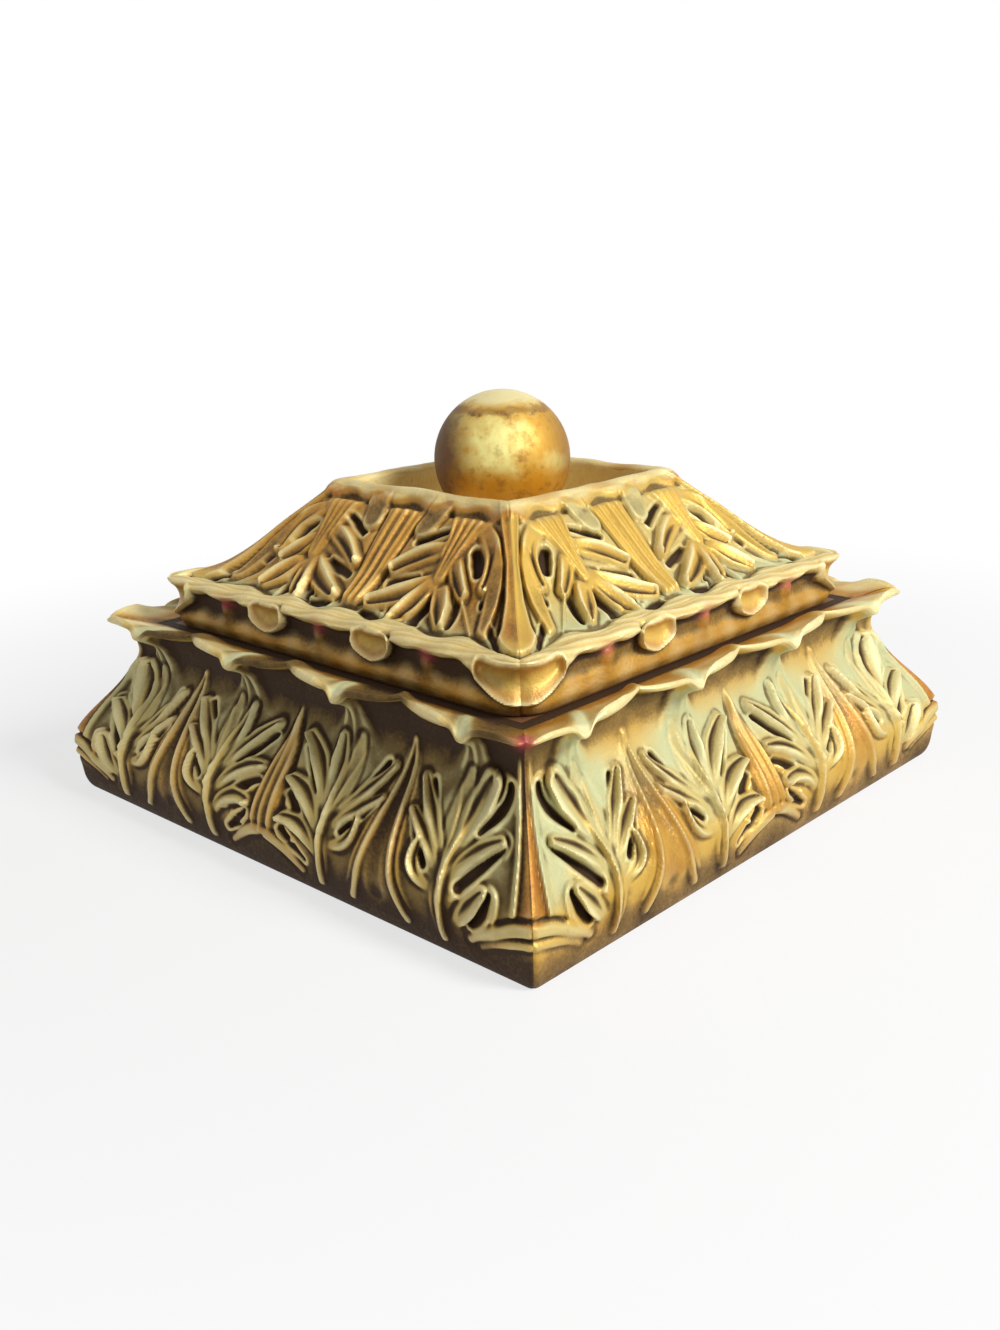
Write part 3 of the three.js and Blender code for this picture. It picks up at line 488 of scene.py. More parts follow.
# Strokes beside the lid's mitre, counted from it
LID_CORNER = (
    ("pit", ((8.2, 19.4), (6.6, 15.6), (5.0, 12.6)), (0.8, 1.3, 0.8), 0.2, 0.6),
    ("pit", ((0, 10.6), (2.6, 10.8), (5.0, 12.4)), (1.3, 1.2, 0.7), 0.0, 0.9),
    ("petal", ((2.0, 37), (4.6, 27), (9.6, 16.4)), (1.0, 1.7, 1.9, 1.2), (2.2, 2.5, 2.5), 0.8, 0.3),
    ("ridge", ((14.6, 22), (13.4, 17), (12.4, 12)), (0.8, 0.6, 0.3), (0.8, 0.7, 0.2)),
)

# The lines of the dart, and the dished discs of the border, the second one counted from the mitre
DART_LINES = (
    ("ridge", ((0, 40), (0, 15.8)), (0.9, 0.5), (0.8, 0.7)),
    ("ridge", ((2.9, 40), (2.0, 17)), (0.7, 0.45), (0.6, 0.5)),
)
NOTCH_DISC = (("shell", ((14.0, 5.0), (16.8, 3.9), (19.6, 5.0)), (2.8, 3.2, 2.8), 1.0, 3.0),)
CORNER_DISC = (("shell", ((-3.0, 3.4), (4.4, 3.0), (9.6, 5.2)), (3.9, 3.9, 2.6), 1.0, 3.4),)


def leaf_blade(cut, middle):
    """The shallow blade of a body leaf, an oval from which its lobes stand up."""
    away = np.hypot((cut.x - middle) / 10.0, (cut.y - 22.5) / 12.5)
    cover = 1 - ease(away, 0.75, 1.05)
    cut.blend(cover, height=2.0)
    cut.at_least(sage=0.85 * cover * ease(cut.y, 11, 20))
    cut.fade(cover, "warm")


def seam(cut, corner, shown, depth, dark):
    """The hair line of the mitre: a narrow bell cut into the height and darkened."""
    line = bell(corner, 0.3) * shown
    cut.height -= depth * line
    cut.at_least(dark=dark * line)


def carve_body(along, up, half_length):
    """A body side's carving: each form is laid over the last, from the flanks to the foot."""
    side = np.abs(along)
    corner = half_length - side
    cut = Carving(side, up, 1.5)
    uneven = wobble(along, up, 5.0, 11)

    # flanks: a smooth swelling tongue between each pair of leaves
    swelling = bell(side - FLARE, 7.5, 4)
    flank = band(up, 5, 11, 26, 37) * swelling
    cut.height += 0.6 * flank
    cut.warm = (0.6 + 0.3 * uneven) * flank
    cut.sage = band(up, 19, 30, 42, 45) * (1 - 0.5 * swelling)
    cut.at_least(sage=0.9 * (1 - ease(corner, 7, 17)) * ease(up, 12, 18))
    cut.sage = np.clip(cut.sage + 0.25 * uneven * cut.sage, 0, 1)

    # middle tongue
    half, cover = cut.tongue(side, MIDDLE_TONGUE, (9.5, 10.5, 35, 38), 1.7, 0.6, 0.6)
    cut.blend(cover, warm=0.6)
    cut.fade(0.7 * cover, "sage")
    cut.height -= 0.8 * bell(side - half - 0.1, 0.5) * band(up, 11, 14, 33, 37)

    # corner tongue, and the rail beside it
    half, cover = cut.tongue(corner, CORNER_TONGUE, (13, 14.5, 41, 44), 0.9, 1.1, 0.5)
    cut.blend(cover, warm=1.0)
    cut.fade(cover, "sage")
    cut.at_least(dark=0.4 * cover * (1 - ease(corner, 0.2, 1.6)) * ease(up, 22, 36))
    rail = bell(corner - half - 0.3, 0.55) * band(up, 13, 15, 38, 43)
    cut.blend(np.clip(1.2 * rail, 0, 1), height=2.4)
    cut.at_least(sage=0.5 * rail)

    leaf_blade(cut, INNER_LEAF)
    leaf_blade(cut, OUTER_LEAF)
    cut.draw(MIDDLE_SIDE_LEAF, INNER_LEAF, -1)
    cut.draw(CORNER_SIDE_LEAF, OUTER_LEAF)
    for toward, spread in ((-1, 1.0), (1, 1.15)):
        for top, rest, widths, heights in FLARE_RIDGES:
            points = [(top[0], top[1]), *((spread * x, y) for x, y in rest)]
            cut.draw([("ridge", points, widths, heights)], FLARE, toward)
    cut.draw(TONGUE_LINES)
    cut.draw(CORNER_BARS, BAR_END)

    # webs rising to the rim, and the hollows under the rim lobes
    cut.height += 0.4 * ease(up, 34, 40)
    web_width = np.interp(up, *WEB_OUTLINE)
    cover = np.zeros_like(side)
    for place in WEBS:
        cover = np.maximum(cover, 1 - ease(np.abs(side - place), 0.55 * web_width, web_width + 1.6))
    scoop = band(up, 32.5, 40.0, 43.0, 46.4) * (1 - cover)
    cut.height -= 1.4 * scoop
    cut.fade(0.9 * scoop, "sage")
    # painted shadow of the rim lobes: the hollows under them are darkened and warmed
    cut.at_least(warm=0.35 * scoop, dark=0.6 * scoop * (1 + 0.35 * uneven) * ease(up, 34, 42))
    for place in WEBS:
        cut.draw(WEB_LINES, place)

    # the foot: darker and warmer towards the bottom
    foot = 1 - ease(up, 2.0, 12.0)
    cut.at_least(dark=0.62 * foot * (1 + 0.5 * uneven), warm=0.8 * foot)
    seam(cut, corner, ease(up, 9, 13), 0.25, 0.3)
    return cut


def carve_lid_slope(cut, side, corner, up):
    """The lid's slope: hollows in a raised sheet of leaf, lobes over them, a dart and a corner drop."""
    cut.height += 0.9 * band(up, 22, 30, 40, 41)
    cut.draw(LID_HOLLOWS, LID_LEAF)

    # the dart on the middle line, dished between its edges
    half, cover = cut.tongue(side, DART_OUTLINE, (15.0, 16.5, 40, 41), 2.0, -0.3, 0.5)
    cut.fade(cover, "sage")
    cut.height -= 0.9 * bell(side - half - 0.2, 0.5) * band(up, 15, 17, 38, 40)
    cut.draw(DART_LINES)
    cut.draw(LID_LOBES, LID_LEAF)

    # the drop-shaped leaf on the mitre
    cut.x = corner
    cut.draw(LID_CORNER)
    cut.x = side
    half = np.interp(up, *DROP_OUTLINE)
    q = np.clip(corner / np.maximum(half, 0.05), 0, 1)
    cover = (1 - ease(corner, half, half + 0.4)) * ease(up, 11.6, 12.4)
    cut.height -= 0.8 * bell(corner - half - 0.6, 0.45) * band(up, 13, 17, 33, 38)
    cut.blend(cover, height=2.6 - 0.7 * (1 - q ** 2) * ease(up, 12, 20) + 0.3 * bell(corner, 0.5))
    cut.fade(cover, "sage", "dark")


def carve_lid_border(cut, along, side, corner, up, uneven):
    """The lid's border: a sheet hangs over a hollow face in drapes, with a dished disc under a notch.

    The sheet lies between two wavy lines, its lower edge and its crown, each a level plus bells and
    a cosine along the side.
    """
    fold = sum(bell(side - place, width) for place, width in FOLDS)
    notch = sum(bell(along - place, NOTCH_WIDTH, 4) for place in NOTCHES)
    droop = sum(bell(along - place, width) for place, width in DROOPS)
    edge = SHEET_EDGE + 2.2 * notch - 1.2 * droop - 0.4 * fold + 0.3 * np.cos(along * 0.62 + 0.4)
    edge += 0.8 * ease(side, 47.5, 50.0)
    crown = SHEET_CROWN + 0.9 * np.cos(along * 0.37 + 1.0) + 0.8 * droop - 2.6 * bell(corner, 5.5)
    sheet = band(up, edge - 0.6, edge + 0.5, crown - 0.8, crown + 0.9)
    across = np.clip((up - edge) / (crown - edge), 0, 1)
    vein = np.sin(3.6 * up + 0.45 * along + 2.5 * uneven)
    swell = 0.25 * np.sin(along * 0.5 + 1.7)
    folded = 2.2 + 0.6 * np.sin(math.pi * across ** 0.7) + 0.7 * droop * (1 - across) + 0.2 * vein + swell
    cut.blend(sheet, height=folded)
    cut.height -= 0.5 * bell(up - crown - 1.0, 0.5)
    cut.fade(sheet, "sage", "light", "warm", "dark")
    # pale rub and painted highlight along the sheet, strongest toward its hanging edge
    highlight = (0.65 + 0.25 * vein) * sheet * (1 - 0.5 * ease(across, 0.6, 1.0))
    cut.at_least(sage=0.5 * sheet * ease(across, 0.5, 1.0), light=highlight)
    cut.at_least(red=0.6 * fold * bell(up - edge + 0.3, 1.6))

    # the hollow face under the sheet's edge
    bay = np.sin(np.clip(side / BAY, 0, 3) * math.pi) ** 2 * (side < 3 * BAY)
    face = 0.9 + 1.7 * ease(up, 2.4, -1.8) - 0.9 * bay * ease(up, -1.5, 3.0)
    face += 1.1 * fold * ease(up, -1.0, 4.0)
    below = 1 - ease(up, edge - 0.8, edge + 0.3)
    cut.blend(below, height=face)
    cut.fade(below, "sage")
    # painted shade under the sheet's edge, deeper toward the top of the face, and a painted highlight low on
    # the face
    dark = (0.2 + 0.4 * ease(up, 1.2, 6.0)) * (1 - 0.5 * np.clip(fold, 0, 1))
    lower_highlight = (1 - ease(up, 1.0, 4.5)) * (0.6 + 0.4 * np.sin(side * 0.75 + 0.6))
    warm = 0.55 + 0.35 * ease(up, 0.5, 5.0)
    cut.at_least(warm=below * warm, dark=below * dark, light=0.3 * below * lower_highlight)
    cut.draw(NOTCH_DISC)
    cut.x = corner
    cut.draw(CORNER_DISC)
    cut.x = side
    # painted shade at the foot of the border, in the gap over the body's rim
    cut.at_least(dark=0.5 * (1 - ease(up, -2.8, -0.6)))


def carve_lid(along, up, half_length):
    """A lid side's carving: the slope, the border below it and the uneven frame above it."""
    side = np.abs(along)
    corner = half_length - side
    cut = Carving(side, up, 1.1 - 0.3 * ease(up, 12, 20))
    uneven = wobble(along, up, 4.0, 23)
    cut.sage += 1 - 0.6 * ease(up, 13, 24)
    carve_lid_slope(cut, side, corner, up)
    carve_lid_border(cut, along, side, corner, up, uneven)

    # the frame at the top, whose lower line wanders
    line = TOP_LINE + 0.9 * np.cos(side * 0.62) + 1.1 * uneven - 1.4 * bell(side - 8.6, 2.0)
    top = ease(up, line - 1.1, line + 1.0)
    cut.blend(0.75 * top, height=2.5 + 0.3 * np.cos(side * 0.9 + 1.0))
    cut.fade(top, "sage")
    cut.at_least(sage=0.15 * top, light=top * (0.6 + 0.5 * uneven) * ease(up, line + 0.6, line + 2.2),
                 warm=0.7 * top * ease(uneven, 0.1, -0.3))
    cut.height -= 0.25 * bell(up - line + 1.0, 0.5) * (side < 24)
    seam(cut, corner, 1 - cut.clean, 0.2, 0.2)
    return cut


# Closed sections of the sides

PANEL_FIT = 0.3
CAVITY_HALF = LINING_HIGH[0] + PANEL_FIT
REBATE_HALF = PANEL_HIGH[0] + PANEL_FIT
PANEL_TOP = PANEL_HIGH[2]
SEAT_HALF = 57.5
SEAT_HEIGHT = 40.0
GILDED_LEDGE_HALF = 55.0
INNER_CHAMFER = 0.4
RIM_HALF = 66.7
WIDEST_HALF = 75.35
FOOT_RADIUS = 1.6
LID_RADIUS, SLOPE_RADIUS, TOP_RADIUS = 9.0, 3.0, 0.8
LID_UNDERSIDE_HALF = 55.4
LID_UNDERSIDE_HEIGHT = 40.3
LID_HOLLOW_HALF = 46.5
LID_HOLLOW_EDGE = 43.7
TOP_PANEL_HALF = TOP_HIGH[0] + PANEL_FIT
RECESS_HALF = 24.4
FRAME_TOP = 72.6
FRAME_DIP = 0.4
WALL_ROWS = 12
HOLLOW_ROWS = 26
RIM_CUSP = 0.515 * RIM_HALF
RIM_SET_BACK = 1.9
RIM_OUT = 2.1
RIM_DROOP = 1.6
BEAK_FULLNESS = 1.4
OVAL_FULLNESS = 1.1
LIP_ANGLES = (25, 60, 95, 130, 160)

# The top frame's rounded section: shares of the way in to the recess, and of the rise
FRAME_ROUND = ((0.08, 0.3), (0.2, 0.62), (0.38, 0.9), (0.58, 1.0), (0.78, 0.85), (0.92, 0.5), (0.98, 0.1))

# A carved face: its curve, where that starts, the level that lies on the curve, the lengths up between
# which the carving grows from nought, those between which the pattern may drift, and two seeds
BODY_FACE = {"curve": BODY_CURVE, "foot": 0.0, "level": 2.5, "grows": (0, 7), "drifts": (1, 6, 38, 44),
             "drift_seed": 0, "grain_seed": 70}
LID_FACE = {"curve": LID_CURVE, "foot": 3.0, "level": 2.6, "grows": (-5, -4), "drifts": (12, 16, 37, 40),
            "drift_seed": 4, "grain_seed": 80}

# For each side: how much painted shade it takes (more on the sides turned from the key lamp), how bright the
# painted highlight on one half of its rim bowls is and how dark the painted shade on the other, whether its
# beak is red, and which way its pattern runs
PAINTED_SIDE_SHADE = (0.0, 0.12, 0.34, 0.52)
BOWL_HIGHLIGHT = (0.2, 0.4, 0.9, 1.0)
BOWL_SHADE = (0.15, 0.2, 0.7, 0.9)
RED_BEAKS = (1.0, 0.0, 0.0, 1.0)
RUNS_FROM_FRONT = (1, -1, 1, -1)
SIDE_WOOD = ("wood_along_y", "wood_along_x", "wood_along_y", "wood_along_x")
MARKS = ("sage", "warm", "red", "dark", "hollow", "crest")


def rim_shape(side):
    """The festoons of the rim: how far they stand out and droop, the bowls on top, and the leaf tips.

    Between two cusps the lip hangs out and down by one less the cube of the distance from halfway;
    there a leaf tip, a bell, curls over it, with a bowl, half a sine, on either side. Each mitre has
    a small beak, a bell rounded off at its very end by a narrower one.
    """
    share = (side / RIM_CUSP) % 1
    corner = RIM_HALF - side
    hang = 1 - np.abs(2 * share - 1) ** 3
    tip = bell((share - 0.5) * RIM_CUSP, 2.3)
    beak = bell(corner, 4.0)
    out = RIM_OUT * hang + 0.5 * tip + 0.9 * beak - 0.9 * bell(corner, 1.5) - RIM_SET_BACK
    droop = RIM_DROOP * hang + 1.3 * tip + 0.7 * beak
    bowl = np.abs(np.sin(2 * math.pi * share)) ** 0.7 * (1 - 0.8 * tip) * (1 - 0.5 * beak)
    return out, -droop, bowl, tip, beak


def round_off(corner, radius):
    """How far a mitre is drawn in to look round: a power of the share of the radius that is left."""
    return 0.293 * radius * np.clip(1 - corner / radius, 0, 1) ** 2.4


def marks_of(cut, row_step, column_step):
    """The finish layers of a carving, with painted shade and highlight among them, and with hollows and
    crests found against its own blurred height.
    """
    wide = cut.height - blur(cut.height, 1.5 / row_step, 1.5 / column_step)
    close = cut.height - blur(cut.height, 0.7 / row_step, 0.7 / column_step)
    hollow = np.clip(-wide / 0.8, 0, 1) + 0.4 * np.clip(-close / 0.3, 0, 1)
    # crests: rubbed leaf with painted highlight; the carving's light layer is painted highlight too
    crest = np.clip(wide / 0.9, 0, 1) + 0.4 * np.clip(close / 0.3, 0, 1)
    return {
        "sage": cut.sage,
        "warm": cut.warm,
        "red": cut.red,
        "dark": np.clip(cut.dark, 0, 1),
        "hollow": np.clip(hollow, 0, 1) * (1 - cut.clean),
        "crest": np.clip(0.42 * crest + cut.light, 0, 1),
    }


def plain_marks(like, **given):
    """Finish layers that are nought but for those given."""
    return {name: np.broadcast_to(given.get(name, 0.0), like.shape).copy() for name in MARKS}


def plain_rows(corners, columns, **given):
    """Rows of a flat part of the section, one for each corner."""
    half, height = (np.repeat(line[:, None], columns, 1) for line in np.array(corners, float).T)
    return half, height, plain_marks(half, **given)


def stack_rows(groups):
    """Joins groups of (half, height, marks) into three arrays over all rows."""
    half, height = (np.concatenate([group[part] for group in groups]) for part in (0, 1))
    return half, height, {name: np.concatenate([group[2][name] for group in groups]) for name in MARKS}


def carved_face(face, carve, number, rows, columns, depth, toward=1):
    """A carved face: each point of its curve, moved along the normal by the carving's height there.

    Small smooth waves shift each side's pattern and add a fine grain, so that no two are quite alike.
    It gives t, which runs from -1 to 1 along the side, the lengths along, up and from the mitre, the
    carving, and the face's halves, heights and marks.
    """
    t = np.linspace(-1, 1, columns)
    run = np.linspace(-face["foot"], face["curve"][0][-1] - face["foot"], rows)
    half, height, out, rise = (line[:, None] for line in follow(face["curve"], run + face["foot"]))
    along = half * t
    up = np.repeat(run[:, None], columns, 1)
    corner = np.repeat(half, columns, 1) - np.abs(along)
    seed = number + face["drift_seed"]
    hold = 0.35 * ease(corner, 1.0, 9.0)
    across = wobble(along, up, 7.0, seed) * hold
    lift = wobble(along, up, 6.0, seed + 50) * hold * band(up, *face["drifts"])
    cut = carve(toward * (along + across), up + lift, half)
    cut.height = blur(cut.height, 1, 1, 1)
    cut.height += 0.07 * wobble(along, up, 1.6, number + face["grain_seed"]) * ease(corner, 0.5, 4.0)
    marks = marks_of(cut, run[1] - run[0], 2 * half.max() / columns)
    offset = (cut.height - face["level"]) * depth * ease(up, *face["grows"])
    return t, along, up, corner, cut, half + offset * out, height + offset * rise, marks


def body_section(number, rows, columns, depth):
    """Rows of a body side: carved curve, lip, hollowed top of the rim, ledge, inner wall and rebate."""
    t, along, up, corner, cut, half, height, marks = carved_face(
        BODY_FACE, carve_body, number, rows, columns, depth)
    place = RIM_HALF * np.abs(t)
    rim_out, rim_lift, bowl, tip, beak = rim_shape(place)

    # ovals and bowls: one half of each festoon takes a painted highlight and the other painted shade
    onward = RUNS_FROM_FRONT[number] * t
    turned = np.sin(2 * math.pi * RIM_HALF * onward / RIM_CUSP)
    red_beak = beak ** 2 * (onward < 0) * RED_BEAKS[number]
    oval = np.clip(-1.15 * turned, 0, 1) ** 2.6 * (1 - 0.9 * tip) * (1 - beak)
    shown = 1 - BOWL_SHADE[number] * (1 - oval) * (1 - 0.7 * tip) * (1 - 0.6 * beak)
    highlight = BOWL_HIGHLIGHT[number] * oval + (1 - BOWL_HIGHLIGHT[number]) * 0.55 * bowl

    # the rim swells out of the curve, with fuller beaks and ovals
    swell = ease(up, 35, BODY_LENGTH) ** 1.5
    half = np.minimum(half - round_off(corner, FOOT_RADIUS) * (1 - ease(up, 8, 14)), WIDEST_HALF)
    half += swell * rim_out
    half += BEAK_FULLNESS * beak * np.sin(math.pi * ease(up, 38, BODY_LENGTH))
    half += OVAL_FULLNESS * oval * np.sin(math.pi * ease(up, 41.0, BODY_LENGTH + 1.0))
    height += swell * rim_lift

    # finish of the beak, the lip and the ovals' faces, with a painted highlight on the ovals, then the
    # side's painted shade
    edge = ease(up, 41.5, 45.5)
    nose = beak ** 2 * edge
    facing = BOWL_HIGHLIGHT[number] * oval * ease(up, 43.2, 44.6)
    covered = (1 - nose) * (1 - facing)
    marks["red"] = np.maximum(marks["red"], red_beak * edge)
    # rubbed leaf and painted highlight along the top of the face where the festoon is lit, and paler crests
    # on the sides with more painted shade
    crest = np.maximum(marks["crest"], 0.9 * shown * ease(up, 46.0, 46.9) * (1 - nose))
    marks["crest"] = np.clip(np.maximum(crest, facing) * (1 + 1.5 * PAINTED_SIDE_SHADE[number]), 0, 1)
    # painted shade: more umber in the hollows and less sage on the shaded sides, and the side's painted
    # shade over the ground
    marks["hollow"] = np.clip(marks["hollow"] * (1 + PAINTED_SIDE_SHADE[number]), 0, 1)
    marks["sage"] = marks["sage"] * covered * (1 - 0.45 * PAINTED_SIDE_SHADE[number])
    side_shade = (0.75 + 0.5 * ease(up, 28, 38) + 0.4 * (1 - ease(up, 4, 14))) * np.clip(1 - 1.9 * cut.clean, 0, 1)
    marks["dark"] = np.clip(marks["dark"] * covered + PAINTED_SIDE_SHADE[number] * (1 - marks["crest"]) * side_shade, 0, 1)
    outer = (half, height, marks)

    # the lip: part of a circle from the edge of the face, as thick as its bowls and tips ask
    angles = np.radians(LIP_ANGLES)[:, None]
    thick = 0.42 + 0.4 * bowl + 0.25 * tip + 0.5 * oval
    lip_half = half[-1] + thick * (np.sin(angles) - 0.3)
    lip_height = height[-1] + 0.9 * thick * (1 - np.cos(angles))
    # the lip is pale with rubbed leaf and a painted highlight where the festoon is lit, with painted shade
    # on the half turned away
    lip = (lip_half, lip_height, plain_marks(
        lip_half, crest=(1.0 - 0.8 * red_beak) * shown, sage=0.4 * tip, red=red_beak, warm=0.1,
        dark=0.9 * (1 - shown)))

    # the hollowed top: a straight line in to the seat, plus crowns, cups and a ripple, all sines
    share = np.linspace(0.03, 1.0, HOLLOW_ROWS)[:, None]
    hollow_half = lip_half[-1] + (SEAT_HALF - lip_half[-1]) * share
    rise_in = np.sin(math.pi * share ** 0.8)
    crown = 1.1 * (1 - bowl) * rise_in ** 1.2 + 0.6 * tip * np.sin(math.pi * share ** 0.6)
    signed = np.broadcast_to(place * np.sign(t), hollow_half.shape)
    ripple = 0.16 * wobble(signed, hollow_half, 1.8, number + 90) * np.sin(math.pi * share)
    hollow_height = lip_height[-1] + (SEAT_HEIGHT - lip_height[-1]) * share
    hollow_height = hollow_height + crown * (1 - beak * share) - 0.55 * bowl * rise_in + ripple
    hollow_height = np.maximum(hollow_height, SEAT_HEIGHT - 0.9 + 0.9 * share)
    leaf = tip * (1 - ease(share, 0.55, 0.95))
    # a painted highlight on the lit half of each bowl
    gleam = highlight * (1 - leaf) * band(share, 0.0, 0.1, 0.4, 0.85)
    hollow = (hollow_half, hollow_height, plain_marks(
        hollow_half,
        sage=np.clip(1.2 * leaf, 0, 1),
        warm=0.85 * (1 - leaf) * (1 - gleam) * ease(share, 0.08, 0.4),
        crest=np.clip(0.9 * (1 - ease(share, 0.0, 0.16)) * shown + 0.6 * leaf + 1.2 * gleam, 0, 1),
        hollow=0.4 * ease(share, 0.6, 1.0),
        # painted shade where the hollow runs in under the lid and on the festoon halves turned away
        dark=np.maximum(ease(share, 0.9, 1.0), 0.85 * (1 - shown)),
        red=red_beak * (1 - ease(share, 0.1, 0.5)),
    ))
    # the ledge under the lid is all painted shade
    ledge = plain_rows([(GILDED_LEDGE_HALF, SEAT_HEIGHT)], columns, dark=1.0)
    inside = plain_rows([
        (CAVITY_HALF + INNER_CHAMFER, SEAT_HEIGHT),
        (CAVITY_HALF, SEAT_HEIGHT - INNER_CHAMFER),
        (CAVITY_HALF, PANEL_TOP),
        (REBATE_HALF, PANEL_TOP),
        (REBATE_HALF, 0.0),
    ], columns)
    gilded_rows = rows + len(LIP_ANGLES) + HOLLOW_ROWS + 1
    return t, stack_rows([outer, lip, hollow, ledge, inside]), gilded_rows


def lid_section(number, rows, columns, depth):
    """Rows of a lid side: carved border and slope, top frame, recess, panel rebate and underside."""
    t, along, up, corner, cut, half, height, marks = carved_face(
        LID_FACE, carve_lid, number, rows, columns, depth, RUNS_FROM_FRONT[number])
    radius = LID_RADIUS - (LID_RADIUS - SLOPE_RADIUS) * ease(up, 6.0, 9.0)
    radius -= (SLOPE_RADIUS - TOP_RADIUS) * ease(up, 10, 14)
    half -= round_off(corner, radius)

    # the side's painted shade: warm on the slope, dark in the border
    slope = PAINTED_SIDE_SHADE[number] * ease(up, 13, 17) * (1 - marks["crest"])
    marks["sage"] = marks["sage"] * (1 - 1.2 * slope)
    marks["warm"] = np.clip(marks["warm"] + 1.5 * slope, 0, 1)
    border = band(up, -1.0, 3.0, 7.5, 9.5)
    side_shade = PAINTED_SIDE_SHADE[number] * (1 - 0.9 * marks["crest"]) * (0.35 + 0.75 * border)
    marks["dark"] = np.clip(marks["dark"] + side_shade, 0, 1)
    outer = (half, height, marks)

    # the top frame and the wall of the recess, both uneven by the same wave along the side
    end_half = half[-1]
    end_height = height[-1]
    place = end_half * t
    wave = 0.45 * wobble(np.abs(place), place * 0, 3.6, number + 5)
    inward, risen = np.array(FRAME_ROUND).T[:, :, None]
    top_half = end_half + (RECESS_HALF - end_half) * inward
    top_height = end_height + (FRAME_TOP - end_height) * risen + wave
    patch = wobble(np.broadcast_to(place, top_half.shape), top_half, 3.0, number + 60)
    top = (top_half, top_height, plain_marks(
        top_half, sage=0.1, crest=np.clip(0.7 + 0.6 * patch, 0, 1), warm=np.clip(-1.2 * patch, 0, 0.6)))
    drop = np.linspace(0, 1, WALL_ROWS)[:, None]
    wall_top = end_height - FRAME_DIP + wave
    wall_half = np.full((WALL_ROWS, columns), RECESS_HALF)
    # painted shade darkening down the recess wall into its corner with the panel, which is paler near its
    # top
    wall = (wall_half, wall_top + (TOP_HIGH[2] - wall_top) * drop, plain_marks(
        wall_half, sage=0.2 * (1 - drop), warm=0.3 * drop, crest=0.95 * (1 - 0.6 * ease(drop, 0.5, 1.0)),
        dark=0.4 * ease(drop, 0.8, 1.0)))
    inside = plain_rows([
        (TOP_PANEL_HALF, TOP_HIGH[2]),
        (TOP_PANEL_HALF, TOP_LOW[2]),
        (LID_HOLLOW_HALF, LID_HOLLOW_EDGE),
        (LID_HOLLOW_HALF, LID_UNDERSIDE_HEIGHT),
        (LID_UNDERSIDE_HALF, LID_UNDERSIDE_HEIGHT),
    ], columns)
    inside[0][-1] -= round_off(LID_UNDERSIDE_HALF * (1 - np.abs(t)), LID_RADIUS)
    return t, stack_rows([outer, top, wall, inside]), rows + len(FRAME_ROUND) + WALL_ROWS


# Mesh building

def object_from(name, points, faces, materials, face_material=None, values=None, sharp=40.0):
    """A mesh object at the origin from points in millimetres, with its values as point attributes."""
    mesh = bpy.data.meshes.new(name)
    mesh.from_pydata((np.asarray(points) * MM).tolist(), [], faces)
    for material in materials:
        mesh.materials.append(material)
    if face_material is not None:
        mesh.polygons.foreach_set("material_index", np.asarray(face_material, np.int32))
    mesh.polygons.foreach_set("use_smooth", np.ones(len(mesh.polygons), bool))
    for key, data in (values or {}).items():
        layer = mesh.attributes.new(key, "FLOAT", "POINT")
        layer.data.foreach_set("value", np.asarray(data, np.float32).ravel())
    mesh.set_sharp_from_angle(angle=math.radians(sharp))
    mesh.update()
    piece = bpy.data.objects.new(name, mesh)
    bpy.context.scene.collection.objects.link(piece)
    return piece


def grid_faces(rows, columns, wrap_rows=False, wrap_columns=False):
    """Four-sided faces over a grid of rows by columns, with either direction closed on itself."""
    index = np.arange(rows * columns).reshape(rows, columns)
    ahead = np.roll(index, -1, axis=1)
    corners = np.stack([index, ahead, np.roll(ahead, -1, axis=0), np.roll(index, -1, axis=0)], axis=-1)
    corners = corners[:rows if wrap_rows else rows - 1, :columns if wrap_columns else columns - 1]
    return corners.reshape(-1, 4)


def quarter_turn(points, times):
    """Points turned about Z by a number of exact quarter turns: each swaps x for -y and y for x."""
    x, y, z = points.T
    for _ in range(times):
        x, y = -y, x
    return np.stack([x, y, z], axis=1)


def side_piece(name, number, section, materials):
    """A closed mitred moulding along one side: a point lies at (half, t * half, height)."""
    t, (half, height, marks), gilded_rows = section
    rows, columns = half.shape
    points = np.stack([half, half * t, height], axis=-1).reshape(-1, 3)
    index = np.arange(rows * columns).reshape(rows, columns)
    ends = [index[:, 0].tolist(), index[::-1, -1].tolist()]
    faces = grid_faces(rows, columns, wrap_rows=True).tolist() + ends
    plain = (np.repeat(np.arange(rows), columns - 1) >= gilded_rows - 1).astype(int)
    return object_from(name, quarter_turn(points, number), faces, materials, [*plain.tolist(), 1, 1], marks)


def turned_rings(radius, height, segments):
    """Rings about Z: a point lies at (radius cos angle, radius sin angle, height)."""
    angle = np.linspace(0, 2 * math.pi, segments, endpoint=False)
    radius, height = np.broadcast_arrays(radius, height, np.empty(segments))[:2]
    return np.stack([radius * np.cos(angle), radius * np.sin(angle), height], axis=-1)


def capped_rings(rings, first_height, last_height):
    """Points and faces of a stack of rings, closed by a fan to a point on the axis at either end."""
    rows, segments = rings.shape[:2]
    points = np.concatenate([rings.reshape(-1, 3), [[0, 0, first_height], [0, 0, last_height]]])
    here = np.arange(segments)
    ahead = np.roll(here, -1)
    first_fan = np.stack([np.full(segments, rows * segments), ahead, here], axis=1)
    lift = (rows - 1) * segments
    last_fan = np.stack([np.full(segments, rows * segments + 1), lift + here, lift + ahead], axis=1)
    faces = grid_faces(rows, segments, wrap_columns=True).tolist() + first_fan.tolist() + last_fan.tolist()
    return points, faces


# Shader wires

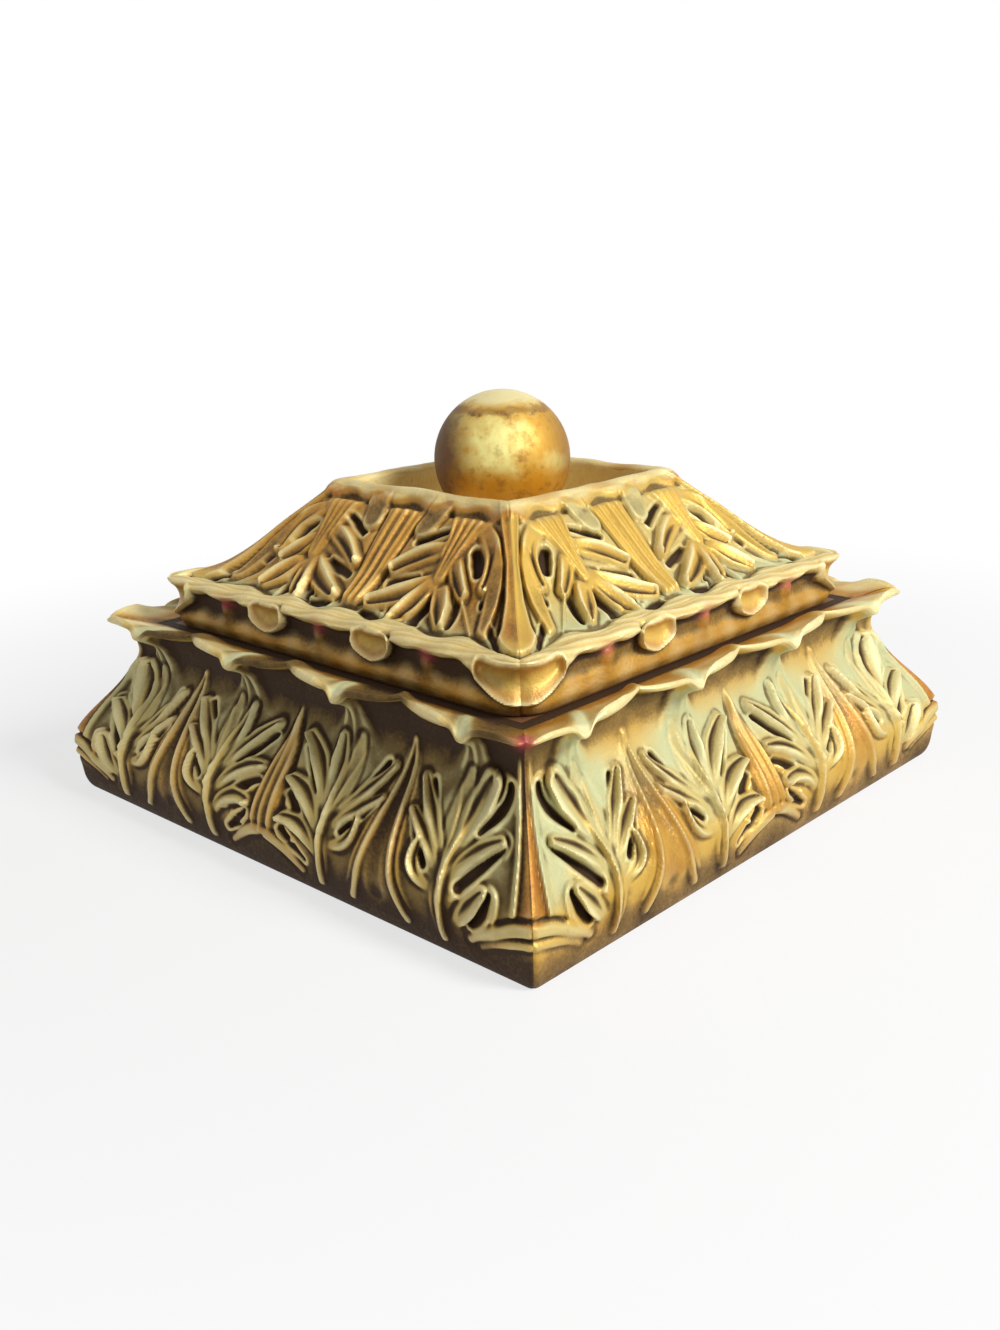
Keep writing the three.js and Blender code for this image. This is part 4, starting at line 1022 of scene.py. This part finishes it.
class Wire:
    """A socket of a material's node tree. Sums of wires and numbers add Math nodes."""

    def __init__(self, tree, socket=None):
        self.tree = tree
        self.socket = socket

    def add(self, kind, settings=None, inputs=None, output=0):
        """Adds a node: its settings first, then its sockets by name or place."""
        node = self.tree.nodes.new(kind)
        for key, value in (settings or {}).items():
            setattr(node, key, value)
        for key, value in (inputs or {}).items():
            socket = node.inputs[key]
            if isinstance(value, Wire):
                self.tree.links.new(value.socket, socket)
            else:
                socket.default_value = value
        return Wire(self.tree, node.outputs[output]) if node.outputs else node

    def math(self, operation, *others, clamp=False):
        """Adds a Math node that works on this wire and the others."""
        inputs = dict(enumerate((self,) + others))
        return self.add("ShaderNodeMath", {"operation": operation, "use_clamp": clamp}, inputs)

    def __add__(self, other):
        return self.math("ADD", other)

    __radd__ = __add__

    def __mul__(self, other):
        return self.math("MULTIPLY", other)

    __rmul__ = __mul__

    def __sub__(self, other):
        return self.math("SUBTRACT", other)

    def __rsub__(self, other):
        return (self * -1.0) + other

    def clip(self):
        """Holds a value between 0 and 1."""
        return self.math("ADD", 0.0, clamp=True)

    def step(self, low, high):
        """Smooth step from 0 at low to 1 at high."""
        settings = {"interpolation_type": "SMOOTHSTEP"}
        return self.add("ShaderNodeMapRange", settings, {0: self, 1: low, 2: high, 3: 0.0, 4: 1.0})

    def toward(self, colour, factor):
        """Mixes this colour toward another by a factor."""
        return self.add("ShaderNodeMix", {"data_type": "RGBA"}, {0: factor, 6: self, 7: colour}, 2)

    def tint(self, colour):
        """A fixed colour, from which a chain of mixes starts."""
        fixed = self.add("ShaderNodeRGB")
        fixed.socket.default_value = colour
        return fixed

    def distance_mm(self, point_mm):
        """How far these coordinates are from a point, in millimetres."""
        point = tuple((np.array(point_mm) * MM).tolist())
        return self.add("ShaderNodeVectorMath", {"operation": "DISTANCE"}, {0: self, 1: point}, 1) * (1 / MM)


def colour(red, green, blue):
    """A screen colour given in 0 to 255, as the linear values that a shader takes."""
    values = [channel / 255 for channel in (red, green, blue)]
    linear = [v / 12.92 if v <= 0.04045 else ((v + 0.055) / 1.055) ** 2.4 for v in values]
    return (*linear, 1.0)


def new_material(name):
    """An empty material: its pen, which adds nodes, and the pattern coordinates in metres."""
    material = bpy.data.materials.new(name)
    material.use_nodes = True
    material.node_tree.nodes.clear()
    pen = Wire(material.node_tree)
    place = pen.add("ShaderNodeTexCoord", output=3)
    return material, pen, place


def noise(pen, place, size_mm, detail=3.0, roughness=0.5, distortion=0.0):
    """Noise from 0 to 1 whose features are about size_mm across."""
    inputs = {"Vector": place, "Scale": 1 / (size_mm * MM), "Detail": detail, "Roughness": roughness,
              "Distortion": distortion}
    return pen.add("ShaderNodeTexNoise", {"noise_dimensions": "3D"}, inputs, 0)


def mark(pen, name):
    """One of the layers that the carving leaves on its points."""
    return pen.add("ShaderNodeAttribute", {"attribute_name": name, "attribute_type": "GEOMETRY"}, {}, 2)


def surface(pen, base, roughness, metallic=0.0, normal=None, **fixed):
    """Ends a material with a Principled shader; fixed values go straight onto its sockets."""
    inputs = {"Base Color": base, "Roughness": roughness, "Metallic": metallic}
    if normal is not None:
        inputs["Normal"] = normal
    inputs.update({key.replace("_", " "): value for key, value in fixed.items()})
    shader = pen.add("ShaderNodeBsdfPrincipled", {}, inputs)
    pen.add("ShaderNodeOutputMaterial", {}, {"Surface": shader})


def bump(pen, height, depth_mm, strength):
    """A normal that makes a surface look raised by a height times a depth."""
    return pen.add("ShaderNodeBump", {}, {"Strength": strength, "Distance": depth_mm * MM, "Height": height})


# Finishes

TURNING_PITCH = 0.25


def gilded_finish(colours):
    """Carved wood: gold leaf over bole, a sage wash on the webs, umber wax and painted shade in the hollows,
    and rubbed crests with painted highlights.
    """
    material, pen, place = new_material("gilded_carving")
    broad = noise(pen, place, 13.0, 3.0)
    medium = noise(pen, place, 3.2, 4.0, 0.6)
    fine = noise(pen, place, 0.7, 4.0, 0.65)
    sage, warm, rub, dark, hollow, crest = (mark(pen, layer) for layer in MARKS)

    gold = pen.tint(colours.gold_leaf)
    tone = gold.toward(colours.warm_gold, (warm * (0.3 + medium * 1.1) + broad.step(0.55, 0.8) * 0.3).clip())
    wash = (sage * (0.6 + medium * 0.7) - warm * 0.15).clip() * 0.9
    tone = tone.toward(colours.sage_wash, wash)
    grain = (medium - 0.5) * 0.4 + (fine - 0.5) * (0.2 + warm * 0.5)
    # umber wax in the hollows plus painted shade from the dark layer: the shadows of pits, rim and lid, and
    # the shaded sides
    dirt_and_shade = dark * 0.95 + hollow * 0.6 + grain - crest * 0.45
    tone = tone.toward(colours.olive, dirt_and_shade.step(0.12, 0.55) * 0.85)
    tone = tone.toward(colours.umber, dirt_and_shade.step(0.45, 1.0) * 0.96)
    # painted highlight, with rubbed leaf, on the crests
    bright = (crest * (0.25 + medium * 0.5 + fine * 0.7) - 0.15).clip() * 0.85
    tone = tone.toward(colours.pale_gold, bright)
    red = (rub * 1.2 + medium.step(0.62, 0.74) * crest.step(0.3, 0.8) * broad.step(0.54, 0.66) * 0.4).clip()
    tone = tone.toward(colours.bole_red, red * (0.55 + fine * 0.6))
    dark_and_dull = dirt_and_shade.step(0.2, 0.9)
    roughness = 0.4 + wash * 0.15 + dark_and_dull * 0.35 + (fine - 0.5) * 0.3
    metallic = (0.28 - wash * 0.24) * (1 - dark_and_dull * 0.9)
    relief = bump(pen, fine * 0.8 + medium * 0.6, 0.2, 0.9)
    surface(pen, tone, roughness, metallic, relief, Specular_IOR_Level=0.35)
    return material


def ball_finish(colours):
    """Burnished leaf on a turned ball: a pale crown and a warm lower part as painted reflections, a painted
    glint, and painted shade on its flanks.
    """
    material, pen, place = new_material("burnished_ball")
    broad = noise(pen, place, 9.0, 3.0, 0.5)
    medium = noise(pen, place, 3.0, 5.0, 0.65)
    fine = noise(pen, place, 0.6, 4.0, 0.7)
    height = pen.add("ShaderNodeSeparateXYZ", {}, {"Vector": place}, 2) * (1 / MM)
    centre = (BALL_LOW[2] + BALL_HIGH[2]) / 2
    # painted shade centred on the ball's front-left flank and its back-right limb, and a painted glint high
    # on its front-right
    shaded_flank = place.distance_mm([-8.6, -8.4, centre])
    shaded_limb = place.distance_mm([8.6, 8.2, centre + 2.0])
    glint = place.distance_mm([6.0, -7.0, centre + 3.5])
    # painted reflections: a pale crown, a dark ring under it and a warm lower part
    crown = (height + (medium - 0.5) * 2.4).step(BALL_HIGH[2] - 3.4, BALL_HIGH[2] - 1.6)
    lower = (height + (broad - 0.5) * 4.0).step(centre + 0.5, centre - 4.0)
    ring = (height + (medium - 0.5) * 3.6 - (BALL_HIGH[2] - 3.9)).math("ABSOLUTE").step(1.1, 0.2)
    ragged = (medium - 0.5) * 8.0
    highlight = (glint + ragged).step(9.5, 3.5)
    # random pale patches and the painted glint
    pale = (broad.step(0.4, 0.62) * 0.5 + highlight * 0.9).clip()
    tone = pen.tint(colours.ball_gold).toward(colours.ball_pale, pale)
    # painted reflection of the gilded lid on the lower part
    tone = tone.toward(colours.ball_warm, lower * 0.8)
    patches = medium.step(0.5, 0.68) * (1.0 - highlight) * 0.4
    # the dark ring of the painted reflection, with random brown patches
    tone = tone.toward(colours.ball_brown, (ring * 0.5 + patches).clip())
    # painted shade: brown round the shaded flank and limb, where the leaf is also duller
    dark_and_dull = (shaded_flank + ragged).step(15.5, 8.5)
    dark_and_dull = (dark_and_dull + (shaded_limb + ragged).step(13.0, 5.0) * 0.6).clip() * 0.95
    tone = tone.toward(colours.ball_brown, dark_and_dull)
    # painted reflection of the bright sky on the crown
    tone = tone.toward(colours.ball_crown, crown * 0.8)
    tone = tone.toward(colours.umber, (fine.step(0.6, 0.75) * 0.3).clip())
    roughness = 0.4 + medium * 0.15 + (fine - 0.5) * 0.2 + dark_and_dull * 0.2
    relief = bump(pen, fine * 0.5 + medium, 0.12, 0.7)
    surface(pen, tone, roughness, 0.3 - dark_and_dull * 0.25, relief)
    return material


def panel_finish(colours):
    """The recess floor: gilded board under a pale wash."""
    material, pen, place = new_material("gilded_board")
    broad = noise(pen, place, 9.0, 3.0)
    fine = noise(pen, place, 0.9, 4.0, 0.6)
    tone = pen.tint(colours.pale_gold).toward(colours.warm_gold, broad.step(0.45, 0.7) * 0.6)
    tone = tone.toward(colours.umber, fine.step(0.62, 0.85) * 0.3)
    surface(pen, tone, 0.42 + fine * 0.15, 0.4, bump(pen, fine, 0.06, 0.5))
    return material


def wood_finish(name, colours, stretch):
    """Stained hardwood with small dark pores; its grain runs along the axis that is stretched."""
    material, pen, place = new_material(name)
    stretched = pen.add("ShaderNodeMapping", {}, {"Vector": place, "Scale": stretch})
    grain = noise(pen, stretched, 1.6, 5.0, 0.6, 0.4)
    pores = noise(pen, stretched, 0.35, 2.0)
    tone = pen.tint(colours.wood).toward(colours.wood_dark, grain.step(0.35, 0.7) * 0.7)
    open_pores = pores.step(0.6, 0.75) * 0.5
    tone = tone.toward(colours.umber, open_pores)
    surface(pen, tone, 0.5 + grain * 0.2, 0.0, bump(pen, grain * 0.6 - open_pores, 0.08, 0.6))
    return material


def felt_finish(name, cloth, shade):
    """Pressed wool: short tangled fibres in two close tones."""
    material, pen, place = new_material(name)
    tangle = noise(pen, place, 0.55, 6.0, 0.75, 1.5)
    broad = noise(pen, place, 11.0, 2.0)
    tone = pen.tint(cloth).toward(shade, (tangle.step(0.4, 0.65) * 0.6 + broad * 0.25).clip())
    surface(pen, tone, 0.95, 0.0, bump(pen, tangle, 0.2, 0.8), Sheen_Weight=0.12)
    return material


def brass_finish(colours):
    """Drawn brass, slightly dulled, with fine turning marks round the axis."""
    material, pen, place = new_material("dull_brass")
    parts = pen.add("ShaderNodeSeparateXYZ", {}, {"Vector": place}, 2)
    turning = (parts * (2 * math.pi / (TURNING_PITCH * MM))).math("SINE") * 0.5 + 0.5
    dull = noise(pen, place, 2.5, 4.0, 0.6)
    tone = pen.tint(colours.brass).toward(colours.brass_dull, dull.step(0.4, 0.7) * 0.7)
    surface(pen, tone, 0.28 + dull * 0.2, 1.0, bump(pen, turning, 0.02, 0.4))
    return material


# Settings

class CarvingSettings(bpy.types.PropertyGroup):
    """How finely and how deep the sides are carved"""
    body_rows: IntProperty(name="Body rows", description="Rows up the carved face of a body side",
                           default=150, min=40, max=300)
    lid_rows: IntProperty(name="Lid rows", description="Rows up the carved face of a lid side",
                          default=150, min=40, max=300)
    columns: IntProperty(name="Columns", description="Columns along a side", default=440, min=80, max=800)
    depth: FloatProperty(name="Depth", description="How deep the carving is, against its drawn depth",
                         default=1.0, min=0.2, max=1.5, subtype="FACTOR")


def colour_property(name, description, *screen):
    """A colour that can be set, from its screen colour in 0 to 255."""
    return FloatVectorProperty(name=name, description=description, default=colour(*screen), size=4,
                               subtype="COLOR", min=0.0, max=1.0)


class FinishSettings(bpy.types.PropertyGroup):
    """Colours of the finishes"""
    gold_leaf: colour_property("Gold leaf", "Colour of the leaf on the carving", 214, 174, 76)
    warm_gold: colour_property("Warm gold", "Leaf with bole showing through", 178, 114, 38)
    # Pale gold is also where the painted highlights go
    pale_gold: colour_property("Pale gold", "Rubbed leaf on the crests", 254, 244, 188)
    sage_wash: colour_property("Sage wash", "Grey-green wash over the webs", 190, 197, 152)
    # Olive and umber also carry the painted shade in pits, under the rim and lid, and on the shaded sides
    olive: colour_property("Olive", "Thin wax at the edge of the hollows", 112, 88, 42)
    umber: colour_property("Umber", "Dark wax left in the hollows", 50, 29, 10)
    bole_red: colour_property("Red bole", "Clay ground that shows where leaf is worn", 184, 70, 82)
    ball_gold: colour_property("Ball gold", "Burnished leaf on the ball", 208, 156, 48)
    # Ball pale also carries the painted glint
    ball_pale: colour_property("Ball pale", "Pale patches on the ball", 248, 236, 150)
    # Ball brown also carries the painted shade on the ball's flanks and the dark ring of its painted
    # reflection
    ball_brown: colour_property("Ball brown", "Rubbed brown patches on the ball", 104, 66, 34)
    # Ball warm and ball crown are painted reflections on the ball
    ball_warm: colour_property("Ball warm", "Orange lower band of the ball", 226, 156, 34)
    ball_crown: colour_property("Ball crown", "Pale crown of the ball", 246, 236, 176)
    wood: colour_property("Wood", "Stained hardwood", 132, 88, 52)
    wood_dark: colour_property("Wood grain", "Dark grain of the hardwood", 84, 52, 30)
    felt: colour_property("Felt", "Lining of the floor", 104, 20, 26)
    felt_shade: colour_property("Felt shade", "Darker fibres of the lining", 72, 14, 20)
    baize: colour_property("Baize", "Cloth under the box", 46, 78, 52)
    baize_shade: colour_property("Baize shade", "Darker fibres of the baize", 28, 50, 34)
    brass: colour_property("Brass", "Screw and washer", 204, 166, 92)
    brass_dull: colour_property("Dull brass", "Tarnish on the screw and washer", 142, 108, 58)


class StudioSettings(bpy.types.PropertyGroup):
    """Strength of the lights"""
    key_power: FloatProperty(name="Key lamp", description="Power of the lamp at the right", default=7.5,
                             min=0.0, unit="POWER")
    fill_power: FloatProperty(name="Fill lamp", description="Power of the lamp at the left", default=0.15,
                              min=0.0, unit="POWER")
    sky: FloatProperty(name="Sky", description="Strength of the even light from all round", default=0.2,
                       min=0.0, max=2.0)


# Operators

# The photograph's camera: degrees round the box from its front, degrees up and degrees of roll, and
# the millimetres from the middle of the foot
CAMERA_ANGLES = (43.46, 17.35, -1.65)
CAMERA_PLACE = (206.69, -218.14, 120.62)
SENSOR_WIDTH, LENS = 36.0, 35.705
SHIFT_X, SHIFT_Y = -0.00614, -0.0004

GRAIN_STRETCH = 0.09
BALL_SEGMENTS, BALL_STEPS = 160, 90
BALL_BORE, BORE_CHAMFER, BORE_TAPER = 2.3, 0.3, 1.2
SCREW_SEGMENTS, HEAD_ROWS, THREAD_TURNS, ROWS_PER_TURN = 48, 24, 9, 8
SLOT_HALF, SLOT_DEPTH = 0.45, 1.0
CORE_RADIUS, CREST_RADIUS = 1.35, 1.95
CLOTH_COUNT = 90

# Metres
FLOOR_REACH = 1.5
LAMP_AWAY = 0.9
AIM_HEIGHT = 0.04
KEY_SIZE, KEY_FROM = 0.3, (0.8, 0.1, 0.62)
FILL_SIZE, FILL_FROM = 0.5, (-0.45, -0.8, 0.5)
GLOW_NEAR, GLOW_FROM, GLOW_TO = 0.72, 0.12, 0.3
WHITE = (1.0, 1.0, 1.0, 1.0)


def made_materials(context):
    """Gives a function that makes each finish once and then hands it out by name."""
    colours = context.scene.gilt_finish
    makers = {
        "gilded_carving": lambda: gilded_finish(colours),
        "burnished_ball": lambda: ball_finish(colours),
        "gilded_board": lambda: panel_finish(colours),
        "wood_along_x": lambda: wood_finish("wood_along_x", colours, (GRAIN_STRETCH, 1.0, 1.0)),
        "wood_along_y": lambda: wood_finish("wood_along_y", colours, (1.0, GRAIN_STRETCH, 1.0)),
        "lining_felt": lambda: felt_finish("lining_felt", colours.felt, colours.felt_shade),
        "base_cloth": lambda: felt_finish("base_cloth", colours.baize, colours.baize_shade),
        "dull_brass": lambda: brass_finish(colours),
    }

    def get(name):
        """The finish of that name, made if it isn't there yet."""
        return bpy.data.materials.get(name) or makers[name]()
    return get


class GILTBOX_OT_camera(bpy.types.Operator):
    """Puts the camera where the photograph was taken from"""
    bl_idname = "giltbox.camera"
    bl_label = "Place camera"

    def execute(self, context):
        azimuth, elevation, roll = np.radians(CAMERA_ANGLES)
        level = math.cos(elevation)
        back = np.array([math.sin(azimuth) * level, -math.cos(azimuth) * level, math.sin(elevation)])
        right = np.cross((0, 0, 1), back)
        right /= np.linalg.norm(right)
        top = np.cross(back, right)
        turned_right = math.cos(roll) * right + math.sin(roll) * top
        turned_top = -math.sin(roll) * right + math.cos(roll) * top
        data = bpy.data.cameras.new("camera")
        data.sensor_width = SENSOR_WIDTH
        data.lens = LENS
        data.shift_x = SHIFT_X
        data.shift_y = SHIFT_Y
        data.clip_start = 0.01
        camera = bpy.data.objects.new("camera", data)
        place = Vector(np.array(CAMERA_PLACE) * MM)
        turn = Matrix([turned_right, turned_top, back]).transposed().to_4x4()
        camera.matrix_world = Matrix.Translation(place) @ turn
        context.scene.collection.objects.link(camera)
        context.scene.camera = camera
        return {"FINISHED"}


def carve_sides(context, part, body, section, rows):
    """Carves the four mitred sides of the box's body or lid, hangs each on its body and hides the frame's
    side that it stands in for.
    """
    get = made_materials(context)
    carving = context.scene.gilt_carving
    for number, (side, wood) in enumerate(zip(SIDES, SIDE_WOOD)):
        grid = section(number, rows, carving.columns, carving.depth)
        piece = side_piece(f"carved_{part}_{side}", number, grid, [get("gilded_carving"), get(wood)])
        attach(piece, body)
        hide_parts(f"{part}_side_{side}")


class GILTBOX_OT_body_sides(bpy.types.Operator):
    """Carves the four mitred sides of the body"""
    bl_idname = "giltbox.body_sides"
    bl_label = "Carve body sides"

    def execute(self, context):
        carve_sides(context, "body", "box_body", body_section, context.scene.gilt_carving.body_rows)
        return {"FINISHED"}


class GILTBOX_OT_lid_sides(bpy.types.Operator):
    """Carves the four mitred sides of the lid"""
    bl_idname = "giltbox.lid_sides"
    bl_label = "Carve lid sides"

    def execute(self, context):
        carve_sides(context, "lid", "lid", lid_section, context.scene.gilt_carving.lid_rows)
        return {"FINISHED"}


class GILTBOX_OT_knob(bpy.types.Operator):
    """Turns the ball, with its flat seat and the bore for the screw"""
    bl_idname = "giltbox.knob"
    bl_label = "Turn ball knob"

    def execute(self, context):
        get = made_materials(context)
        radius = (BALL_HIGH[0] - BALL_LOW[0]) / 2
        centre = BALL_HIGH[2] - radius
        seat = math.sqrt(radius ** 2 - (centre - BALL_LOW[2]) ** 2)
        depth = SCREW_HIGH[2] + PANEL_FIT
        bore = np.array([
            (BALL_BORE, depth - BORE_TAPER),
            (BALL_BORE, BALL_LOW[2] + BORE_CHAMFER),
            (BALL_BORE + BORE_CHAMFER, BALL_LOW[2]),
        ])
        angle = np.linspace(math.asin(seat / radius), math.pi, BALL_STEPS)[:-1]
        ball = np.stack([radius * np.sin(angle), centre - radius * np.cos(angle)], axis=1)
        outline = np.concatenate([bore, ball])
        rings = turned_rings(outline[:, :1], outline[:, 1:], BALL_SEGMENTS)
        points, faces = capped_rings(rings, depth, BALL_HIGH[2])
        piece = object_from("turned_ball", points, faces, [get("burnished_ball")])
        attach(piece, "lid")
        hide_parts("ball_knob")
        return {"FINISHED"}


def ring_angles(segments):
    """Even angles round a full turn."""
    return np.linspace(0, 2 * math.pi, segments, endpoint=False)


def screw_head():
    """Rings of a domed head: quarter sines over its radius and height, and a slot cut straight across."""
    share = np.linspace(0.02, 1, HEAD_ROWS)[:, None] * math.pi / 2
    radius = (SCREW_HIGH[0] - SCREW_LOW[0]) / 2 * np.sin(share)
    height = SCREW_LOW[2] + (WASHER_LOW[2] - SCREW_LOW[2]) * 0.8 * (1 - np.cos(share))
    floor = SCREW_LOW[2] + SLOT_DEPTH
    slot = (np.abs(radius * np.sin(ring_angles(SCREW_SEGMENTS))) < SLOT_HALF) & (height < floor)
    return turned_rings(radius, np.where(slot, floor, height), SCREW_SEGMENTS)


def screw_shank(foot, tip):
    """Rings of a threaded shank: the core plus a ridge where height and angle keep step, then a taper."""
    share = np.linspace(0, 1, THREAD_TURNS * ROWS_PER_TURN)[:, None]
    phase = (share * THREAD_TURNS - ring_angles(SCREW_SEGMENTS) / (2 * math.pi)) % 1.0
    ridge = np.clip(1 - np.abs(phase - 0.5) * 3.2, 0, 1)
    start = ease(share, 0.22, 0.3)
    radius = CORE_RADIUS + (CREST_RADIUS - CORE_RADIUS) * (ridge * start + (1 - start))
    return turned_rings(radius * (1 - ease(share, 0.82, 1.0)), foot + (tip - foot) * share, SCREW_SEGMENTS)


class GILTBOX_OT_fixings(bpy.types.Operator):
    """Makes the slotted wood screw and finishes the washer"""
    bl_idname = "giltbox.fixings"
    bl_label = "Make screw and washer"

    def execute(self, context):
        get = made_materials(context)
        head = screw_head()
        rim = head[-1:].copy()
        rim[..., 2] = WASHER_LOW[2]
        shank = screw_shank(WASHER_LOW[2], SCREW_HIGH[2] - 0.05)
        points, faces = capped_rings(np.concatenate([head, rim, shank]), head[0, 0, 2], SCREW_HIGH[2])
        piece = object_from("slotted_screw", points, faces, [get("dull_brass")], sharp=30.0)
        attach(piece, "lid")
        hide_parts("knob_screw")
        dress(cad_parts["knob_washer"], get("dull_brass"))
        return {"FINISHED"}


def dress(node, material):
    """Gives a carried-over node of the frame one finish."""
    node.data.materials.clear()
    node.data.materials.append(material)


def cloth_piece(name, low, high, material, edge_drop, seed):
    """A cut sheet: a closed slab, flat below.

    Its upper face lies a little under the top, plus a small wave, less a smooth drop at its edges.
    """
    span = np.linspace(-1, 1, CLOTH_COUNT)
    u, v = np.meshgrid(span, span, indexing="ij")
    half = (high[:2] - low[:2]) / 2
    x = u * half[0]
    y = v * half[1]
    away = np.minimum(half[0] - np.abs(x), half[1] - np.abs(y))
    top = high[2] - 0.12 + 0.06 * wobble(x, y, 6.0, seed) - edge_drop * (1 - ease(away, 0.0, 1.6))
    points = np.stack([np.stack([x, y, top], -1), np.stack([x, y, np.full_like(x, low[2])], -1)])
    index = np.arange(x.size).reshape(x.shape)
    ring = np.concatenate([index[:, 0], index[-1, 1:], index[-2::-1, -1], index[0, -2:0:-1]])
    ahead = np.roll(ring, -1)
    upper = grid_faces(CLOTH_COUNT, CLOTH_COUNT)
    lower = (upper + x.size)[:, ::-1]
    walls = np.stack([ahead, ring, ring + x.size, ahead + x.size], axis=1)
    faces = np.concatenate([upper, lower, walls]).tolist()
    return object_from(name, points.reshape(-1, 3), faces, [material], sharp=60.0)


class GILTBOX_OT_linings(bpy.types.Operator):
    """Cuts the felt for the floor and the baize under the bottom panel"""
    bl_idname = "giltbox.linings"
    bl_label = "Cut felt and baize"

    def execute(self, context):
        get = made_materials(context)
        jobs = (
            ("felt_floor", "floor_lining", LINING_LOW, LINING_HIGH, "lining_felt", "lining_felt", 0.5, 21),
            ("baize_sheet", "base_baize", BAIZE_LOW, BAIZE_HIGH, "base_cloth", "baize", 0.2, 22),
        )
        for name, node, low, high, finish, slot, drop, seed in jobs:
            piece = cloth_piece(name, low, high, get(finish), drop, seed)
            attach(piece, "box_body")
            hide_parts(node)
            size = tuple(float(s) * MM for s in (high - low)[:2])
        return {"FINISHED"}


class GILTBOX_OT_boards(bpy.types.Operator):
    """Finishes the bottom panel, the lid's top panel and the lip strips"""
    bl_idname = "giltbox.boards"
    bl_label = "Finish boards and strips"

    def execute(self, context):
        get = made_materials(context)
        dress(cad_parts["bottom_panel"], get("wood_along_x"))
        dress(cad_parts["lid_top_panel"], get("gilded_board"))
        for side, wood in zip(SIDES, SIDE_WOOD):
            dress(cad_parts["lip_strip_" + side], get(wood))
        return {"FINISHED"}


def background_rays(pen):
    """One for rays that should meet a white background: the camera's, mirrored or through glass."""
    kinds = ("Is Camera Ray", "Is Glossy Ray", "Is Transmission Ray")
    camera, glossy, passed = (pen.add("ShaderNodeLightPath", {}, {}, kind) for kind in kinds)
    return (camera + glossy + passed).clip()


class GILTBOX_OT_stage(bpy.types.Operator):
    """Lays the pale floor and sets up the lamps and the even sky"""
    bl_idname = "giltbox.stage"
    bl_label = "Set up studio"

    def execute(self, context):
        scene = context.scene
        studio = scene.gilt_studio
        scene.view_settings.view_transform = "Standard"
        floor = bpy.data.meshes.new("pale_floor")
        corners = ((-1, -1), (1, -1), (1, 1), (-1, 1))
        floor.from_pydata([(x * FLOOR_REACH, y * FLOOR_REACH, 0) for x, y in corners], [], [(0, 1, 2, 3)])
        material, pen, place = new_material("pale_floor")
        distance = pen.add("ShaderNodeVectorMath", {"operation": "LENGTH"}, {0: place}, 1)
        seen = background_rays(pen)
        diffuse = pen.add("ShaderNodeBsdfDiffuse", {}, {"Color": (0.9, 0.9, 0.9, 1.0)})
        glow = pen.add("ShaderNodeEmission", {}, {"Color": WHITE, "Strength": 1.0})
        far = (GLOW_NEAR + distance.step(GLOW_FROM, GLOW_TO) * (1 - GLOW_NEAR)) * seen
        mixed = pen.add("ShaderNodeMixShader", {}, {0: far, 1: diffuse, 2: glow})
        pen.add("ShaderNodeOutputMaterial", {}, {"Surface": mixed})
        floor.materials.append(material)
        piece = bpy.data.objects.new("pale_floor", floor)
        scene.collection.objects.link(piece)
        lamps = (
            ("key_lamp", studio.key_power, KEY_SIZE, KEY_FROM),
            ("fill_lamp", studio.fill_power, FILL_SIZE, FILL_FROM),
        )
        for name, power, size, direction in lamps:
            data = bpy.data.lights.new(name, "AREA")
            data.shape = "DISK"
            data.size = size
            data.energy = power
            lamp = bpy.data.objects.new(name, data)
            aim = Vector(direction).normalized()
            lamp.matrix_world = Matrix.Translation(aim * LAMP_AWAY + Vector((0, 0, AIM_HEIGHT)))
            lamp.rotation_euler = aim.to_track_quat("Z", "Y").to_euler()
            scene.collection.objects.link(lamp)
        world = bpy.data.worlds.new("studio_sky")
        scene.world = world
        world.use_nodes = True
        world.node_tree.nodes.clear()
        pen = Wire(world.node_tree)
        seen = background_rays(pen)
        strength = studio.sky + seen * (1.0 - studio.sky)
        sky = pen.add("ShaderNodeBackground", {}, {"Color": WHITE, "Strength": strength})
        pen.add("ShaderNodeOutputWorld", {}, {"Surface": sky})
        return {"FINISHED"}


class GILTBOX_PT_sidebar(bpy.types.Panel):
    """Lists the steps that make the box and its settings"""
    bl_idname = "GILTBOX_PT_sidebar"
    bl_label = "Gilt Box"
    bl_space_type = "VIEW_3D"
    bl_region_type = "UI"
    bl_category = "Gilt Box"

    def draw(self, context):
        scene = context.scene
        for group in (scene.gilt_carving, scene.gilt_finish, scene.gilt_studio):
            box = self.layout.box()
            for name in group.bl_rna.properties.keys():
                if name not in ("rna_type", "name"):
                    box.prop(group, name)
        for operator in OPERATORS:
            self.layout.operator(operator.bl_idname)


OPERATORS = (
    GILTBOX_OT_camera,
    GILTBOX_OT_body_sides,
    GILTBOX_OT_lid_sides,
    GILTBOX_OT_knob,
    GILTBOX_OT_fixings,
    GILTBOX_OT_linings,
    GILTBOX_OT_boards,
    GILTBOX_OT_stage,
)
SETTINGS = (CarvingSettings, FinishSettings, StudioSettings)


def register():
    """Makes the settings, the steps and the panel known to Blender."""
    for item in SETTINGS + OPERATORS + (GILTBOX_PT_sidebar,):
        bpy.utils.register_class(item)
    bpy.types.Scene.gilt_carving = PointerProperty(type=CarvingSettings)
    bpy.types.Scene.gilt_finish = PointerProperty(type=FinishSettings)
    bpy.types.Scene.gilt_studio = PointerProperty(type=StudioSettings)


def unregister():
    """Takes away what register added."""
    for name in ("gilt_carving", "gilt_finish", "gilt_studio"):
        delattr(bpy.types.Scene, name)
    for item in reversed(SETTINGS + OPERATORS + (GILTBOX_PT_sidebar,)):
        bpy.utils.unregister_class(item)


def main():
    """Makes the box piece by piece."""
    register()
    for operator in OPERATORS:
        group, name = operator.bl_idname.split(".")
        getattr(getattr(bpy.ops, group), name)()


if __name__ == "__main__":
    main()
